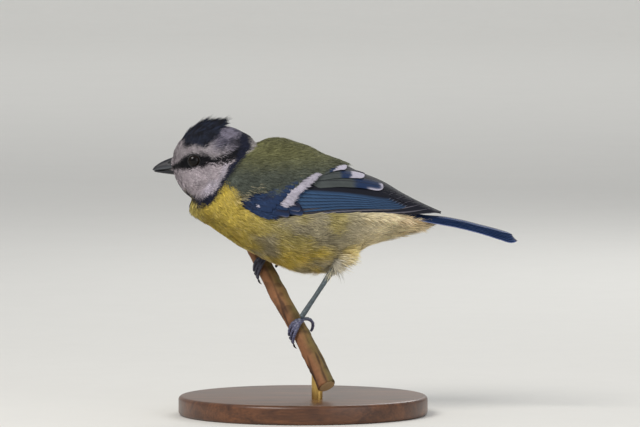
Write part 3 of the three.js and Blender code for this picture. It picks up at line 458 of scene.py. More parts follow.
def head_colours(points, side, steady, tone):
    """Cheek and brow with their flecks, the nape, the streaked cap and the dark lines at the eye."""
    sx, sz = side.T
    pale = layered(
        tone.cheek, (tone.brow, step(sz, *BROW_Z)), (tone.white, line_mask(side, CHEEK_LIGHTS, 0.9) * 0.6))
    pale *= (0.66 + 0.62 * grain(points, (1.4, 0.8, 0.6), 14))[:, None]
    fleck = step(grain(points, (0.9, 0.6, 0.5), 16), 0.66, 0.8) * step(sx, *FLECK_X)
    dapple = step(grain(points, (2.4, 0.9, 0.7), 12), 0.5, 0.7)
    cap = step(sz - table_value(CROWN_EDGE, sx), -0.5, 0.7)
    cap *= step(sx, *CROWN_FRONT_X) * step(sx, *CROWN_REAR_X)
    streak = step(grain(points, (3.2, 0.75, 0.7), 7), 0.45, 0.62)
    return layered(
        pale,
        (tone.streaks, fleck * 0.22),
        (tone.nape, step(sx, *NAPE_X) * step(sz, *NAPE_Z) * 0.75),
        (tone.collar, dapple * step(sx, *DAPPLE_X) * step(sz, *DAPPLE_Z) * 0.7),
        (tone.crown, cap),
        (tone.streaks, cap * streak * 0.85),
        (tone.streaks, line_mask(steady, TEMPLE, 0.5) * 0.7),
        (tone.streaks, line_mask(steady, EYE_STRIPE, 0.4)))


def plumage(points, tone):
    """Colours of skin and coat at points in millimetres: the markings of the bird."""
    wander = np.stack([grain(points, 1.1, 3), grain(points, 1.1, 4)], 1) - 0.5
    side = points[:, [0, 2]] + EDGE_WANDER * wander
    steady = points[:, [0, 2]] + LINE_WANDER * wander
    sx, sz = side.T
    chin = step(np.abs(points[:, 1] + wander[:, 0]), *CHIN_Y) * step(sz, *CHIN_Z)
    chin *= step(sx, *CHIN_FRONT_X) * step(sx, *CHIN_REAR_X)
    return layered(
        body_colours(points, side, tone),
        (head_colours(points, side, steady, tone), head_share(np.stack([sx, points[:, 1], sz], 1))),
        (tone.collar, np.maximum(line_mask(side, COLLAR, 0.35), chin)))


def mesh_from(name, points, faces, tone, vane, patch):
    """A mesh of triangles from arrays in millimetres, with colours, vane places and patches."""
    mesh = bpy.data.meshes.new(name)
    faces = np.asarray(faces, np.int32)
    mesh.vertices.add(len(points))
    mesh.vertices.foreach_set("co", (np.asarray(points) * MM).astype(np.float32).ravel())
    mesh.loops.add(faces.size)
    mesh.loops.foreach_set("vertex_index", faces.ravel())
    mesh.polygons.add(len(faces))
    mesh.polygons.foreach_set("loop_start", np.arange(0, faces.size, 3, dtype=np.int32))
    mesh.update(calc_edges=True)
    mesh.shade_smooth()
    paint_vertices(mesh, tone)
    place = mesh.attributes.new("vane", "FLOAT_VECTOR", "POINT")
    place.data.foreach_set("vector", np.asarray(vane, np.float32).ravel())
    layer = mesh.uv_layers.new(name="OFBake")
    layer.data.foreach_set("uv", np.asarray(patch, np.float32)[faces.ravel()].ravel())
    return mesh


def paint_vertices(mesh, tone):
    """Writes the colours of the vertices to the attribute that the materials read."""
    layer = mesh.color_attributes.new("tone", "FLOAT_COLOR", "POINT")
    full = np.ones((len(tone), 4), np.float32)
    full[:, :3] = np.clip(tone, 0, 1)
    layer.data.foreach_set("color", full.ravel())


def coordinates(mesh):
    """Vertices in millimetres."""
    place = np.empty(len(mesh.vertices) * 3, np.float32)
    mesh.vertices.foreach_get("co", place)
    return place.reshape(-1, 3).astype(float) / MM


def place_vertices(mesh, points):
    """Moves the vertices to points in millimetres."""
    mesh.vertices.foreach_set("co", (points * MM).astype(np.float32).ravel())
    mesh.update()


def directions(mesh):
    """Vertex normals."""
    normals = np.empty(len(mesh.vertices) * 3, np.float32)
    mesh.vertex_normals.foreach_get("vector", normals)
    return normals.reshape(-1, 3).astype(float)


def mount(name, mesh, slot, material, *nodes):
    """The finished mesh as a piece that stands for CAD nodes."""
    piece = bpy.data.objects.new(name, mesh)
    bpy.context.scene.collection.objects.link(piece)
    mesh.materials.clear()
    mesh.materials.append(material)
    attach(piece, BODY)
    if nodes:
        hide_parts(*nodes)
    return piece


def mount_tufts(name, arrays, slot):
    """A coat piece from the arrays of its tufts."""
    mount(name, mesh_from(name, *arrays), slot, coat_material())


def finish_mesh(bm, name, smooth=True):
    """The mesh of a bmesh, its faces turned outward."""
    bmesh.ops.recalc_face_normals(bm, faces=bm.faces)
    mesh = bpy.data.meshes.new(name)
    bm.to_mesh(mesh)
    bm.free()
    if smooth:
        mesh.shade_smooth()
    return mesh


def remeshed(mesh, name, cell, rounds):
    """The mesh under one fine surface of cells, smoothed in rounds."""
    holder = bpy.data.objects.new(name, mesh)
    bpy.context.scene.collection.objects.link(holder)
    remesh = holder.modifiers.new("remesh", "REMESH")
    remesh.mode = "VOXEL"
    remesh.voxel_size = cell
    smooth = holder.modifiers.new("smooth", "SMOOTH")
    smooth.factor = 0.5
    smooth.iterations = rounds
    graph = bpy.context.evaluated_depsgraph_get()
    done = bpy.data.meshes.new_from_object(holder.evaluated_get(graph))
    bpy.data.objects.remove(holder)
    return done


def smooth_copy(nodes, cell, rounds):
    """CAD nodes joined under one fine smooth surface."""
    bm = bmesh.new()
    for node in nodes:
        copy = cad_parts[node].data.copy()
        bm.from_mesh(copy)
        bpy.data.meshes.remove(copy)
    bmesh.ops.remove_doubles(bm, verts=bm.verts, dist=0.002 * MM)
    mesh = remeshed(finish_mesh(bm, "copy", smooth=False), "copy", cell, rounds)
    mesh.shade_smooth()
    return mesh


def ball(bm, around, along):
    """A sphere's vertices, with the share of the way between its poles and the turn round of each."""
    made = bmesh.ops.create_uvsphere(bm, u_segments=around, v_segments=along, radius=1)["verts"]
    place = np.array([vertex.co for vertex in made])
    return made, np.arccos(np.clip(place[:, 2], -1, 1)) / np.pi, np.arctan2(place[:, 1], place[:, 0])


def loft(bm, rows, front, rear, around, along):
    """A closed body on a table of profiles, from a sphere with its poles at the table's ends."""
    made, share, turn = ball(bm, around, along)
    first, last = rows[0][0], rows[-1][0]
    x = first + (last - first) * (1 - np.cos(np.pi * share)) / 2
    top, bottom, half, belt = columns(rows, x)
    size = rounded(x - first, front) * rounded(last - x, rear)
    reach = np.where(np.cos(turn) > 0, top - belt, belt - bottom)
    places = np.stack([x, half * size * np.sin(turn), belt + size * reach * np.cos(turn)], 1)
    for vertex, point in zip(made, places):
        vertex.co = Vector(point) * MM


def limb(bm, path, radii, around, along):
    """A closed limb along a path, from a sphere with its poles at the path's ends."""
    made, share, turn = ball(bm, around, along)
    rows = np.column_stack([np.linspace(0, 1, len(path)), path, radii])
    centre = course(rows, share)
    ahead, behind = (course(rows, np.clip(share + shift, 0, 1))[:, :3] for shift in (0.02, -0.02))
    run = unit(ahead - behind)
    across = unit(np.cross(run, [0, 1, 0]))
    other = np.cross(run, across)
    radius = centre[:, 3] * rounded(share, 0.12) * rounded(1 - share, 0.12)
    ring = across * np.cos(turn)[:, None] + other * np.sin(turn)[:, None]
    places = centre[:, :3] + radius[:, None] * ring
    for vertex, point in zip(made, places):
        vertex.co = Vector(point) * MM


def wing_point(x, share, lift):
    """Points on the folded wing of the right side, and the normals there."""
    out_top, up_top, out_low, up_low = columns(WING, x)
    turn = share * np.pi / 2
    out = out_top + (out_low - out_top) * np.sin(turn)
    up = (up_top - up_low) * np.cos(turn)
    arch = np.maximum(up_top, course(TORSO, x)[..., 0]) - up_low
    normal = unit(np.stack([np.zeros_like(out), out / out_low ** 2, up / arch ** 2], -1))
    return np.stack([x, out, up_low + up], -1) + normal * np.asarray(lift)[..., None], normal


def wing_share(x, z):
    """Share of the way from the wing's back edge to its lower edge at a height."""
    _, up_top, _, up_low = columns(WING, x)
    return np.arccos(np.clip((z - up_low) / (up_top - up_low), 0, 1)) * 2 / np.pi


def wing_span(x):
    """Length across the wing's surface."""
    shares = np.linspace(0, 1, 9)
    steps = [wing_point(x, np.full_like(x, share), np.zeros_like(x))[0] for share in shares]
    return sum(np.linalg.norm(b - a, axis=-1) for a, b in zip(steps[:-1], steps[1:]))


def layer_depth(x, depth):
    """Depth of a layer of feathers, less towards the wing tip."""
    return depth * (1 - (1 - LAYERS_CLOSED) * np.clip((x - LAYERS_CLOSE_FROM) / LAYERS_CLOSE_OVER, 0, 1))


def under_wing(points):
    """How far inside the wing's field points lie, 0 to 1, their height over it and the normals there."""
    x, y, z = points.T
    _, up_top, _, up_low = columns(WING, x)
    surface, normal = wing_point(x, wing_share(x, z), np.zeros_like(x))
    height = ((points * [1, 0, 1] + np.abs(y)[:, None] * [0, 1, 0] - surface) * normal).sum(1)
    inside = step(z - up_low, -0.9, 0.3) * step(up_top - z, -0.4, 0.8)
    inside *= step(x, WING[0][0] - 0.3, WING[0][0] + 1.2)
    inside *= step(WING[-1][0] - x, -0.5, 1)
    return inside, height, normal * np.stack([np.ones_like(y), np.sign(y), np.ones_like(y)], 1)


def coat_depth(points):
    """Depth of the coat in millimetres: thin on the face, deeper on the belly."""
    depth = table_value(COAT_DEPTH, np.linalg.norm(points - BILL_ROOT, axis=1))
    return depth + 0.45 * step(60 - points[:, 2], 0, 8) * (1 - head_share(points))


def on_thigh(points, top):
    """1 on the near thigh below a height, 0 away from it."""
    return step(top - points[:, 2], 0, 3) * step(np.abs(points[:, 0] - THIGH_MIDDLE), 7, 4)


def skin_mesh(cell):
    """One skin over head, neck, torso and thighs, inside the coat."""
    bm = bmesh.new()
    loft(bm, TORSO, TORSO_FRONT, TORSO_REAR, 72, 60)
    loft(bm, HEAD, HEAD_FRONT, HEAD_REAR, 64, 44)
    for path, radii in THIGHS.values():
        limb(bm, path, radii, 24, 16)
    mesh = remeshed(finish_mesh(bm, "rough_skin"), "rough_skin", cell, 9)
    points = coordinates(mesh)
    points -= directions(mesh) * coat_depth(points)[:, None]
    inside, height, normal = under_wing(points)
    points -= normal * (inside * np.maximum(height + WING_FLOOR, 0))[:, None]
    for side in SIDES.values():
        away = points - on_side(EYE_CENTRE, side)
        gap = np.linalg.norm(away, axis=1, keepdims=True)
        sunk = away / gap * -1.2 * step(EYE_RADIUS + 0.6 - gap, 0, 0.5)
        points += np.where(gap < EYE_RADIUS + 0.6, sunk, 0)
    place_vertices(mesh, points)
    mesh.shade_smooth()
    return mesh


def along_surface(field, normals):
    """Unit vectors of a field laid flat on the surface."""
    return unit(field - normals * (field * normals).sum(1, keepdims=True))


def lie(points, normals):
    """Unit vectors that the feathers follow along the surface."""
    x, _, z = points.T
    away = unit(points - BILL_ROOT)
    rear = step(x, *LIE_BACK_X)[:, None]
    field = away * (1 - rear) + np.array([1, 0, -0.1]) * rear
    leg = on_thigh(points, 49.5)[:, None]
    field = field * (1 - leg) + np.array([-0.1, 0, -1]) * leg
    forward = step(BRISTLE_REACH - np.linalg.norm(points - BILL_ROOT, axis=1), 0, 0.6)[:, None]
    field = field * (1 - forward) + np.array([-1, 0, 0]) * forward
    flat = along_surface(field, normals)
    below = columns(WING, x)[3] - z
    edge = step(x, *LIE_CALM_X) * step(5 - below, 0, 2) * step(43 - x, 0, 3)
    sway = (grain(points, 2.6, 41) - 0.5) * np.where(x < -38, 0.3, 1 - 0.6 * step(x, 8, 18)) * (1 - edge)
    flat = along_surface(flat - 0.12 * (edge * (np.abs(below - 1) < 4))[:, None] * UP, normals)
    return unit(flat + np.cross(normals, flat) * sway[:, None])


def scatter(mesh, density, rng):
    """Random places on a mesh, so many to the square millimetre, with their normals."""
    mesh.calc_loop_triangles()
    corners = np.empty(len(mesh.loop_triangles) * 3, np.int32)
    mesh.loop_triangles.foreach_get("vertices", corners)
    corners = corners.reshape(-1, 3)
    points, normals = coordinates(mesh), directions(mesh)
    a, b, c = (points[corners[:, k]] for k in range(3))
    area = np.linalg.norm(np.cross(b - a, c - a), axis=1) / 2
    expected = area * density((a + b + c) / 3)
    count = np.floor(expected + rng.random(len(area))).astype(int)
    owner = np.repeat(np.arange(len(area)), count)
    u, v = rng.random(len(owner)), rng.random(len(owner))
    u, v = np.where(u + v > 1, 1 - u, u)[:, None], np.where(u + v > 1, 1 - v, v)[:, None]
    where = a[owner] + u * (b - a)[owner] + v * (c - a)[owner]
    facing = unit(sum(normals[corners[owner, k]] for k in range(3)))
    return where, facing


# One barb of a tuft: share of its length and of its width at each pair of points
BARB_ROWS = ((0.0, 0.55), (0.36, 1.0), (0.72, 0.72))
BARB_FACES = np.array([(0, 1, 3), (0, 3, 2), (2, 3, 5), (2, 5, 4), (4, 5, 6)])
# A tuft's patch on the UV map: margin of the map, room for the roots, size of a patch
PATCH_EDGE = 0.005
PATCH_SPAN = 0.987
PATCH_SIZE = 0.003


def tufts(roots, normals, lies, length, width, lift, fan, barbs, base, tip, spread_seed, centre):
    """Arrays of a coat: each tuft is a fan of tapering barbs that bends back to the body."""
    rng = np.random.default_rng(spread_seed)
    count = len(roots)
    places = np.linspace(-1, 1, barbs)[None, :]
    turn = (places + rng.normal(0, 0.16, (count, barbs))) * fan
    reach = length[:, None] * (1 - 0.16 * np.abs(places)) * rng.uniform(0.82, 1.1, (count, barbs))
    side = unit(np.cross(normals, lies))
    run = lies[:, None, :] * np.cos(turn)[..., None] + side[:, None, :] * np.sin(turn)[..., None]
    across = side[:, None, :] * np.cos(turn)[..., None] - lies[:, None, :] * np.sin(turn)[..., None]
    roll = rng.normal(0, 0.3, (count, barbs))[..., None]
    across = across * np.cos(roll) + normals[:, None, :] * np.sin(roll)
    rise = lift[:, None] * rng.uniform(0.75, 1.25, (count, barbs))
    stack = []
    shades = []
    for share, wide in BARB_ROWS + ((1.0, 0.0),):
        height = rise * (1 - (1 - share) ** 2) - 0.1
        middle = roots[:, None, :] + run * (reach * share)[..., None]
        middle = middle + normals[:, None, :] * height[..., None]
        half = across * (width[:, None] * wide / 2)[..., None]
        # The colour runs from the base colour to the tip colour; painted shade darkens each barb to half at
        # its root, where the tufts lie over one another
        shade = (base + (tip - base) * share ** 1.5) * (0.5 + 0.5 * min(1, share * 1.7))
        pair = [middle - half, middle + half] if wide else [middle]
        stack += pair
        shades += [shade] * len(pair)
    points = np.stack(stack, 2).reshape(-1, 3)
    each = len(stack)
    vary = rng.normal(1, 0.11, (count, 1, 1, 1)) * rng.normal(1, 0.12, (count, barbs, 1, 1))
    tone = (np.stack(shades, 1)[:, None, :, :] * vary).reshape(-1, 3)
    faces = (BARB_FACES[None] + (np.arange(count * barbs) * each)[:, None, None]).reshape(-1, 3)
    local, patch = tuft_patches(unit(roots - centre), barbs)
    vane = np.tile(np.concatenate([local, np.zeros((barbs, each, 1))], 2)[None], (count, 1, 1, 1))
    vane[..., 2] = rng.random((count, 1, 1))
    return points, faces, tone, vane.reshape(-1, 3), patch


def tuft_patches(away, barbs):
    """Places inside one tuft, and small patches for all of them at their roots on an unwrapped sphere."""
    turn = np.arctan2(away[:, 1], away[:, 0]) / (2 * np.pi) + 0.5
    fall = np.arccos(np.clip(away[:, 2], -1, 1)) / np.pi
    spot = PATCH_EDGE + np.stack([turn, fall], 1) * PATCH_SPAN
    pairs = [(k / barbs, share) for k in range(barbs) for share, _ in BARB_ROWS for _ in (0, 1)]
    tips = np.array([[(k / barbs, 1)] for k in range(barbs)], float)
    local = np.concatenate([np.array(pairs, float).reshape(barbs, -1, 2), tips], 1)
    local[:, 1:6:2, 0] += 0.8 / barbs
    return local, (spot[:, None, None, :] + PATCH_SIZE * local[None]).reshape(-1, 2)


def node_group(name, *inputs):
    """A shader node group with the given inputs and the outputs Shade and Height."""
    group = bpy.data.node_groups.new(name, "ShaderNodeTree")
    for title, kind, value in inputs:
        group.interface.new_socket(title, in_out="INPUT", socket_type=kind).default_value = value
    for title in ("Shade", "Height"):
        group.interface.new_socket(title, in_out="OUTPUT", socket_type="NodeSocketFloat")
    return group, group.nodes.new("NodeGroupInput")


def close_group(group, height, contrast):
    """Links a group's outputs: the height, and a shade around 1 that follows it."""
    result = group.nodes.new("NodeGroupOutput")
    spread = maths(group, "MULTIPLY", maths(group, "SUBTRACT", height, 0.5), contrast)
    group.links.new(maths(group, "ADD", spread, 1.0), result.inputs["Shade"])
    group.links.new(height, result.inputs["Height"])
    return group


def add_node(tree, kind, links=(), **settings):
    """A node with its settings, and its inputs linked or set by name or number."""
    node = tree.nodes.new(kind)
    for key, value in settings.items():
        setattr(node, key, value)
    for socket, value in dict(links).items():
        if isinstance(value, bpy.types.NodeSocket):
            tree.links.new(value, node.inputs[socket])
        else:
            node.inputs[socket].default_value = value
    return node


def maths(tree, operation, *values):
    """The result of a maths node."""
    return add_node(tree, "ShaderNodeMath", dict(enumerate(values)), operation=operation).outputs[0]


def noise(tree, place, scale, **settings):
    """The value of a noise texture at a place."""
    sockets = {"Vector": place, "Scale": scale, **settings}
    return add_node(tree, "ShaderNodeTexNoise", sockets).outputs[0]


def mapped(tree, **settings):
    """The piece's own place, turned or stretched."""
    place = add_node(tree, "ShaderNodeTexCoord").outputs["Object"]
    return add_node(tree, "ShaderNodeMapping", {"Vector": place, **settings}).outputs[0]


def bumped(tree, shader, strength, distance, height):
    """Bumps the shader's surface by a height."""
    sockets = {"Strength": strength, "Distance": distance, "Height": height}
    bump = add_node(tree, "ShaderNodeBump", sockets)
    tree.links.new(bump.outputs[0], shader.inputs["Normal"])


def barb_group():
    """Fine barbs that run out from a feather's shaft, as a shade and a height."""
    group, given = node_group(
        "barb_lines", ("Lines", "NodeSocketFloat", 30.0), ("Contrast", "NodeSocketFloat", 0.2))
    place = add_node(group, "ShaderNodeAttribute", attribute_name="vane")
    parts = add_node(group, "ShaderNodeSeparateXYZ", {0: place.outputs["Vector"]})
    along, turn, seed = parts.outputs
    slant = maths(group, "SUBTRACT", along, maths(group, "MULTIPLY", maths(group, "ABSOLUTE", turn), 0.12))
    count = maths(group, "MULTIPLY", slant, given.outputs["Lines"])
    spread = {0: maths(group, "MULTIPLY", count, 0.35), 1: turn, 2: maths(group, "MULTIPLY", seed, 40)}
    uneven = add_node(group, "ShaderNodeCombineXYZ", spread).outputs[0]
    wave = maths(group, "SINE", maths(group, "MULTIPLY", count, 6.283))
    height = maths(group, "ADD", maths(group, "MULTIPLY", wave, 0.3), noise(group, uneven, 1.6, Detail=3.0))
    return close_group(group, height, given.outputs["Contrast"])


def grain_group():
    """Uneven tone and height from two sizes of noise on the piece's own place."""
    group, given = node_group(
        "fine_grain", ("Scale", "NodeSocketFloat", 900.0), ("Contrast", "NodeSocketFloat", 0.2),
        ("Stretch", "NodeSocketVector", (1, 1, 1)))
    place = add_node(group, "ShaderNodeTexCoord").outputs["Object"]
    pulled = {0: place, 1: given.outputs["Stretch"]}
    place = add_node(group, "ShaderNodeVectorMath", pulled, operation="MULTIPLY").outputs[0]
    scale = given.outputs["Scale"]
    fine = noise(group, place, scale, Detail=5.0, Roughness=0.6)
    broad = noise(group, place, maths(group, "MULTIPLY", scale, 0.22), Detail=2.0)
    height = maths(group, "ADD", maths(group, "MULTIPLY", fine, 0.6), maths(group, "MULTIPLY", broad, 0.4))
    return close_group(group, height, maths(group, "MULTIPLY", given.outputs["Contrast"], 2.0))


GROUPS = {"barb_lines": barb_group, "fine_grain": grain_group}


def new_material(name, roughness, **sockets):
    """A material with its Principled shader and constants set on the shader's own sockets."""
    material = bpy.data.materials.new(name)
    material.use_nodes = True
    shader = material.node_tree.nodes["Principled BSDF"]
    shader.inputs["Roughness"].default_value = roughness
    for title, value in sockets.items():
        shader.inputs[title.replace("_", " ").title().replace("Ior", "IOR")].default_value = value
    return material, material.node_tree, shader


def shaded(tree, colour, group, **values):
    """A colour multiplied by a group's shade, and the group's height."""
    tree_group = bpy.data.node_groups.get(group) or GROUPS[group]()
    detail = add_node(tree, "ShaderNodeGroup", values, node_tree=tree_group)
    tint = {0: colour, "Scale": detail.outputs["Shade"]}
    tint = add_node(tree, "ShaderNodeVectorMath", tint, operation="SCALE")
    return tint.outputs[0], detail.outputs["Height"]


def tone_of(tree):
    """The colours painted on the vertices."""
    return add_node(tree, "ShaderNodeAttribute", attribute_name="tone").outputs["Color"]


def finish(name, roughness, colour, group, bump, detail, **sockets):
    """A material in one colour, or in the painted ones if none is given, with a group's detail over it."""
    material, tree, shader = new_material(name, roughness, **sockets)
    tint, height = shaded(tree, tone_of(tree) if colour is None else tuple(colour), group, **detail)
    tree.links.new(tint, shader.inputs["Base Color"])
    bumped(tree, shader, bump[0], bump[1] * MM, height)
    return material


def coat_material():
    """The one material of skin and tufts."""
    return bpy.data.materials.get("soft_plumage") or finish(
        "soft_plumage", 0.72, None, "fine_grain", (0.25, 0.05), {"Scale": 2200.0, "Contrast": 0.22},
        specular_ior_level=0.18, sheen_weight=0.05, sheen_roughness=0.5)


def vane_material(name, roughness, lines, contrast, coat):
    """The finish of flight feathers, with lines of barbs."""
    return finish(
        name, roughness, None, "barb_lines", (0.5, 0.06), {"Lines": lines, "Contrast": contrast},
        specular_ior_level=0.16, coat_weight=coat, coat_roughness=0.4)


def horn_material(name, roughness, colour, scale, contrast, stretch, **sockets):
    """A smooth horny finish with faint growth marks."""
    detail = {"Scale": scale, "Contrast": contrast, "Stretch": stretch}
    return finish(name, roughness, colour, "fine_grain", (0.3, 0.05), detail, **sockets)


class BIRD_OT_skin(bpy.types.Operator):
    """The skin under the plumage: head, neck, torso and thighs as one surface"""

    bl_idname = "bird.skin"
    bl_label = "Skin"

    def execute(self, context):
        tone = context.scene.bird_plumage
        mesh = skin_mesh(tone.skin_cell)
        # Painted shade: the skin takes the plumage's colours at less than half, so it reads as the shade
        # between the tufts
        paint_vertices(mesh, plumage(coordinates(mesh), tone) * 0.45)
        flesh = ("torso", "neck", "head", "thigh_left", "thigh_right")
        mount("skin", mesh, "body_plumage", coat_material(), *flesh)
        return {"FINISHED"}


HEAD_CENTRE = np.array([-28.0, 0, 79.0])
BODY_CENTRE = np.array([2.0, 0, 66.0])
WISP_DENSITY = 0.9


class BIRD_OT_coat(bpy.types.Operator):
    """The soft plumage of head and body as tufts that lie along the skin"""

    bl_idname = "bird.coat"
    bl_label = "Coat"

    def execute(self, context):
        tone = context.scene.bird_plumage
        skin = bpy.data.objects["skin"].data
        rng = np.random.default_rng(11)

        def density(points):
            head = head_share(points)
            return tone.head_density * head + tone.body_density * (1 - head)

        roots, normals = scatter(skin, density, rng)
        inside, _, _ = under_wing(roots)
        keep = inside < WING_BARES
        for side in SIDES.values():
            away = roots - on_side(EYE_CENTRE, side)
            keep &= np.linalg.norm(away * [1, 0.55, 1], axis=1) > LID_RADIUS + 0.2
        muzzle = (roots - BILL_ROOT) / [1.6, 1.9, 1.9]
        keep &= np.linalg.norm(muzzle, axis=1) > 1
        keep &= ~((roots[:, 0] > 30) & (normals[:, 2] > 0.1))
        roots, normals = roots[keep], normals[keep]
        x, _, z = roots.T
        slope = normals[:, 2]
        lies = lie(roots, normals)
        head = head_share(roots)
        leg = on_thigh(roots, 50)
        body_length = table_value(BODY_LENGTH, x) + 1.0 * step(58 - z, 0, 8)
        head_length = table_value(HEAD_LENGTH, np.linalg.norm(roots - BILL_ROOT, axis=1))
        length = (head_length * head + body_length * (1 - head)) * (1 - 0.62 * leg)
        length = np.minimum(length, np.maximum(COAT_REAR - x, 1.2))
        for share in (0.5, 1.0):
            over, _, _ = under_wing(roots + lies * (length * share)[:, None])
            length = np.where((over > 0.3) & (head < 0.5) & (slope < BACK_SLOPE), length * 0.55, length)
        width = table_value(BARB_WIDTH, length)
        lift = (coat_depth(roots) * (1 + 0.25 * (1 - head)) + 0.15) * (1 - 0.7 * leg)
        lift *= 1 - 0.4 * step(-x, 31, 35) * (1 - head) - 0.6 * step(x, 16, 28)
        seen = roots + lies * (length * 0.62)[:, None]
        base = plumage(seen, tone)
        bar = 0.8 + 0.4 * grain(seen, (0.9, 3, 0.9), 21)
        base *= (1 + (bar - 1) * step(z, 70, 76) * (1 - head))[:, None]
        base *= (0.8 + 0.4 * grain(seen, 1.7, 22))[:, None]
        light = np.asarray(tone.white)
        tip = base + (light * base.max(1, keepdims=True) - base) * 0.22 + 0.12 * base
        flank = (head <= 0.5) & (slope <= BACK_SLOPE)
        parts = {
            "crown_feathers": (head > 0.5) & (z > CROWN_ABOVE),
            "cheek_feathers": (head > 0.5) & (z <= CROWN_ABOVE),
            "back_feathers": (head <= 0.5) & (slope > BACK_SLOPE),
            "breast_feathers": flank & (x < BELLY_FROM),
            "belly_feathers": flank & (x >= BELLY_FROM) & (x < VENT_FROM),
            "vent_feathers": flank & (x >= VENT_FROM),
        }
        for number, (name, where) in enumerate(parts.items()):
            on_head = name in ("crown_feathers", "cheek_feathers")
            fan, barbs, centre = (0.5, 5, HEAD_CENTRE) if on_head else (0.34, 7, BODY_CENTRE)
            arrays = tufts(
                *(part[where] for part in (roots, normals, lies, length, width, lift)), fan, barbs,
                base[where], tip[where], 100 + number, centre)
            mount_tufts(name, arrays, "head_plumage" if on_head else "body_plumage")
        return {"FINISHED"}


def crown_point(x, y):
    """Points on top of the head."""
    top, _, half, belt = columns(HEAD, x)
    rise = np.sqrt(np.clip(1 - (y / half) ** 2, 0, 1))
    return np.stack([x, y, belt + (top - belt) * rise], 1)


class BIRD_OT_wisps(bpy.types.Operator):
    """Long loose barbs that break the outline of the breast, flanks, belly and vent"""

    bl_idname = "bird.wisps"
    bl_label = "Wisps"

    def execute(self, context):
        tone = context.scene.bird_plumage
        skin = bpy.data.objects["skin"].data
        roots, normals = scatter(
            skin, lambda points: np.full(len(points), WISP_DENSITY), np.random.default_rng(17))
        inside, _, _ = under_wing(roots)
        x, _, z = roots.T
        slope = normals[:, 2]
        keep = (head_share(roots) < 0.2) & (inside < WING_BARES) & (slope < 0.3) & (x > -33)
        keep &= (z > 45.5) & ((x < 30) | (slope < -0.3))
        roots, normals = roots[keep], normals[keep]
        lies = lie(roots, normals)
        count = len(roots)
        rng = np.random.default_rng(18)
        length = table_value(WISP_LENGTH, roots[:, 0]) * rng.uniform(0.7, 1.15, count)
        colour = plumage(roots + lies * (length * 0.6)[:, None], tone)
        pale = rng.random(count)[:, None] < 0.62
        colour = np.where(pale, colour * 0.6 + 0.4 * np.asarray(tone.vent), colour * 0.5)
        lift = coat_depth(roots) * 1.45 + 0.3 * step(55 - roots[:, 2], 0, 6)
        arrays = tufts(
            roots, normals, lies, length, np.full(count, 0.13), lift, 0.22, 6,
            colour * 0.9, colour * 1.15, 19, BODY_CENTRE)
        mount_tufts("wisps", arrays, "body_plumage")
        return {"FINISHED"}


class BIRD_OT_crest(bpy.types.Operator):
    """The raised crest, feather by feather"""

    bl_idname = "bird.crest"
    bl_label = "Crest"

    def execute(self, context):
        tone = context.scene.bird_plumage
        rng = np.random.default_rng(5)
        count = CREST_COUNT
        x = rng.uniform(CREST[0][0], CREST[-1][0] + CREST_BEHIND, count)
        rise, length, spread = columns(CREST, x)
        y = rng.uniform(-0.5, 0.5, count) * spread
        aside = np.abs(y) / spread
        rise = np.radians(rise * (1 - 0.5 * aside) + rng.normal(0, 4, count))
        run = unit(np.stack([np.cos(rise), -0.06 * y, np.sin(rise)], 1))
        roots = crown_point(x, y) - run * 0.9
        out = unit(np.stack([np.zeros(count), y * 0.5, np.ones(count)], 1))
        facing = unit(np.cross(np.cross(run, out), run))
        length = length * (1 - 0.25 * aside) * rng.uniform(0.5, 1.3, count) + 0.9
        dark = rng.random(count)[:, None] < 0.5
        base = np.where(dark, np.asarray(tone.streaks), np.asarray(tone.crown))
        base = base * rng.uniform(0.7, 1.2, (count, 1))
        arrays = tufts(
            roots, facing, run, length, np.full(count, 0.2), np.full(count, 0.5), 0.13, 6,
            base, base * 1.25, 8, HEAD_CENTRE)
        mount_tufts("crest", arrays, "head_plumage")
        return {"FINISHED"}


VANE_ROWS = 34
TAIL_ROWS = 56
VANE_TURNS = np.array([-1, -0.86, -0.66, -0.44, -0.24, -0.1, 0, 0.1, 0.24, 0.44, 0.66, 0.86, 1])
VANE_THICK = 0.16
ATLAS = 12


def grid_faces(rows, columns):
    """Triangles of a closed sheet: a top grid, a bottom grid and the rim between them."""
    low = rows * columns
    number = np.arange(low).reshape(rows, columns)
    corners = (number[:-1, :-1], number[:-1, 1:], number[1:, 1:], number[1:, :-1])
    a, b, c, d = (part.ravel() for part in corners)
    top = np.concatenate([np.stack([a, b, c], 1), np.stack([a, c, d], 1)])
    under = top[:, ::-1] + low
    ring = np.concatenate([number[0, :-1], number[:-1, -1], number[-1, :0:-1], number[:0:-1, 0]])
    after = np.roll(ring, -1)
    rim = [np.stack([ring, ring + low, after + low], 1), np.stack([ring, after + low, after], 1)]
    return np.concatenate([top, under, *rim])


def outline(share, pointed):
    """Half width of a vane along its length."""
    close = 0.74 if pointed else 0.88
    if pointed:
        end = 1 - np.clip((share - close) / (1 - close), 0, 1) ** 2.2
    else:
        end = rounded(1 - share, 1 - close)
    return step(share, -0.1, 0.12) * np.clip(end, 0, 1)


def sheet_grain(cells, shape, cell, seed):
    """Noise from 0 to 1 on a grid, from the places of its cells."""
    places = [np.broadcast_to(part, shape).ravel() for part in cells]
    return grain(np.stack(places, 1).astype(float), cell, seed).reshape(shape)


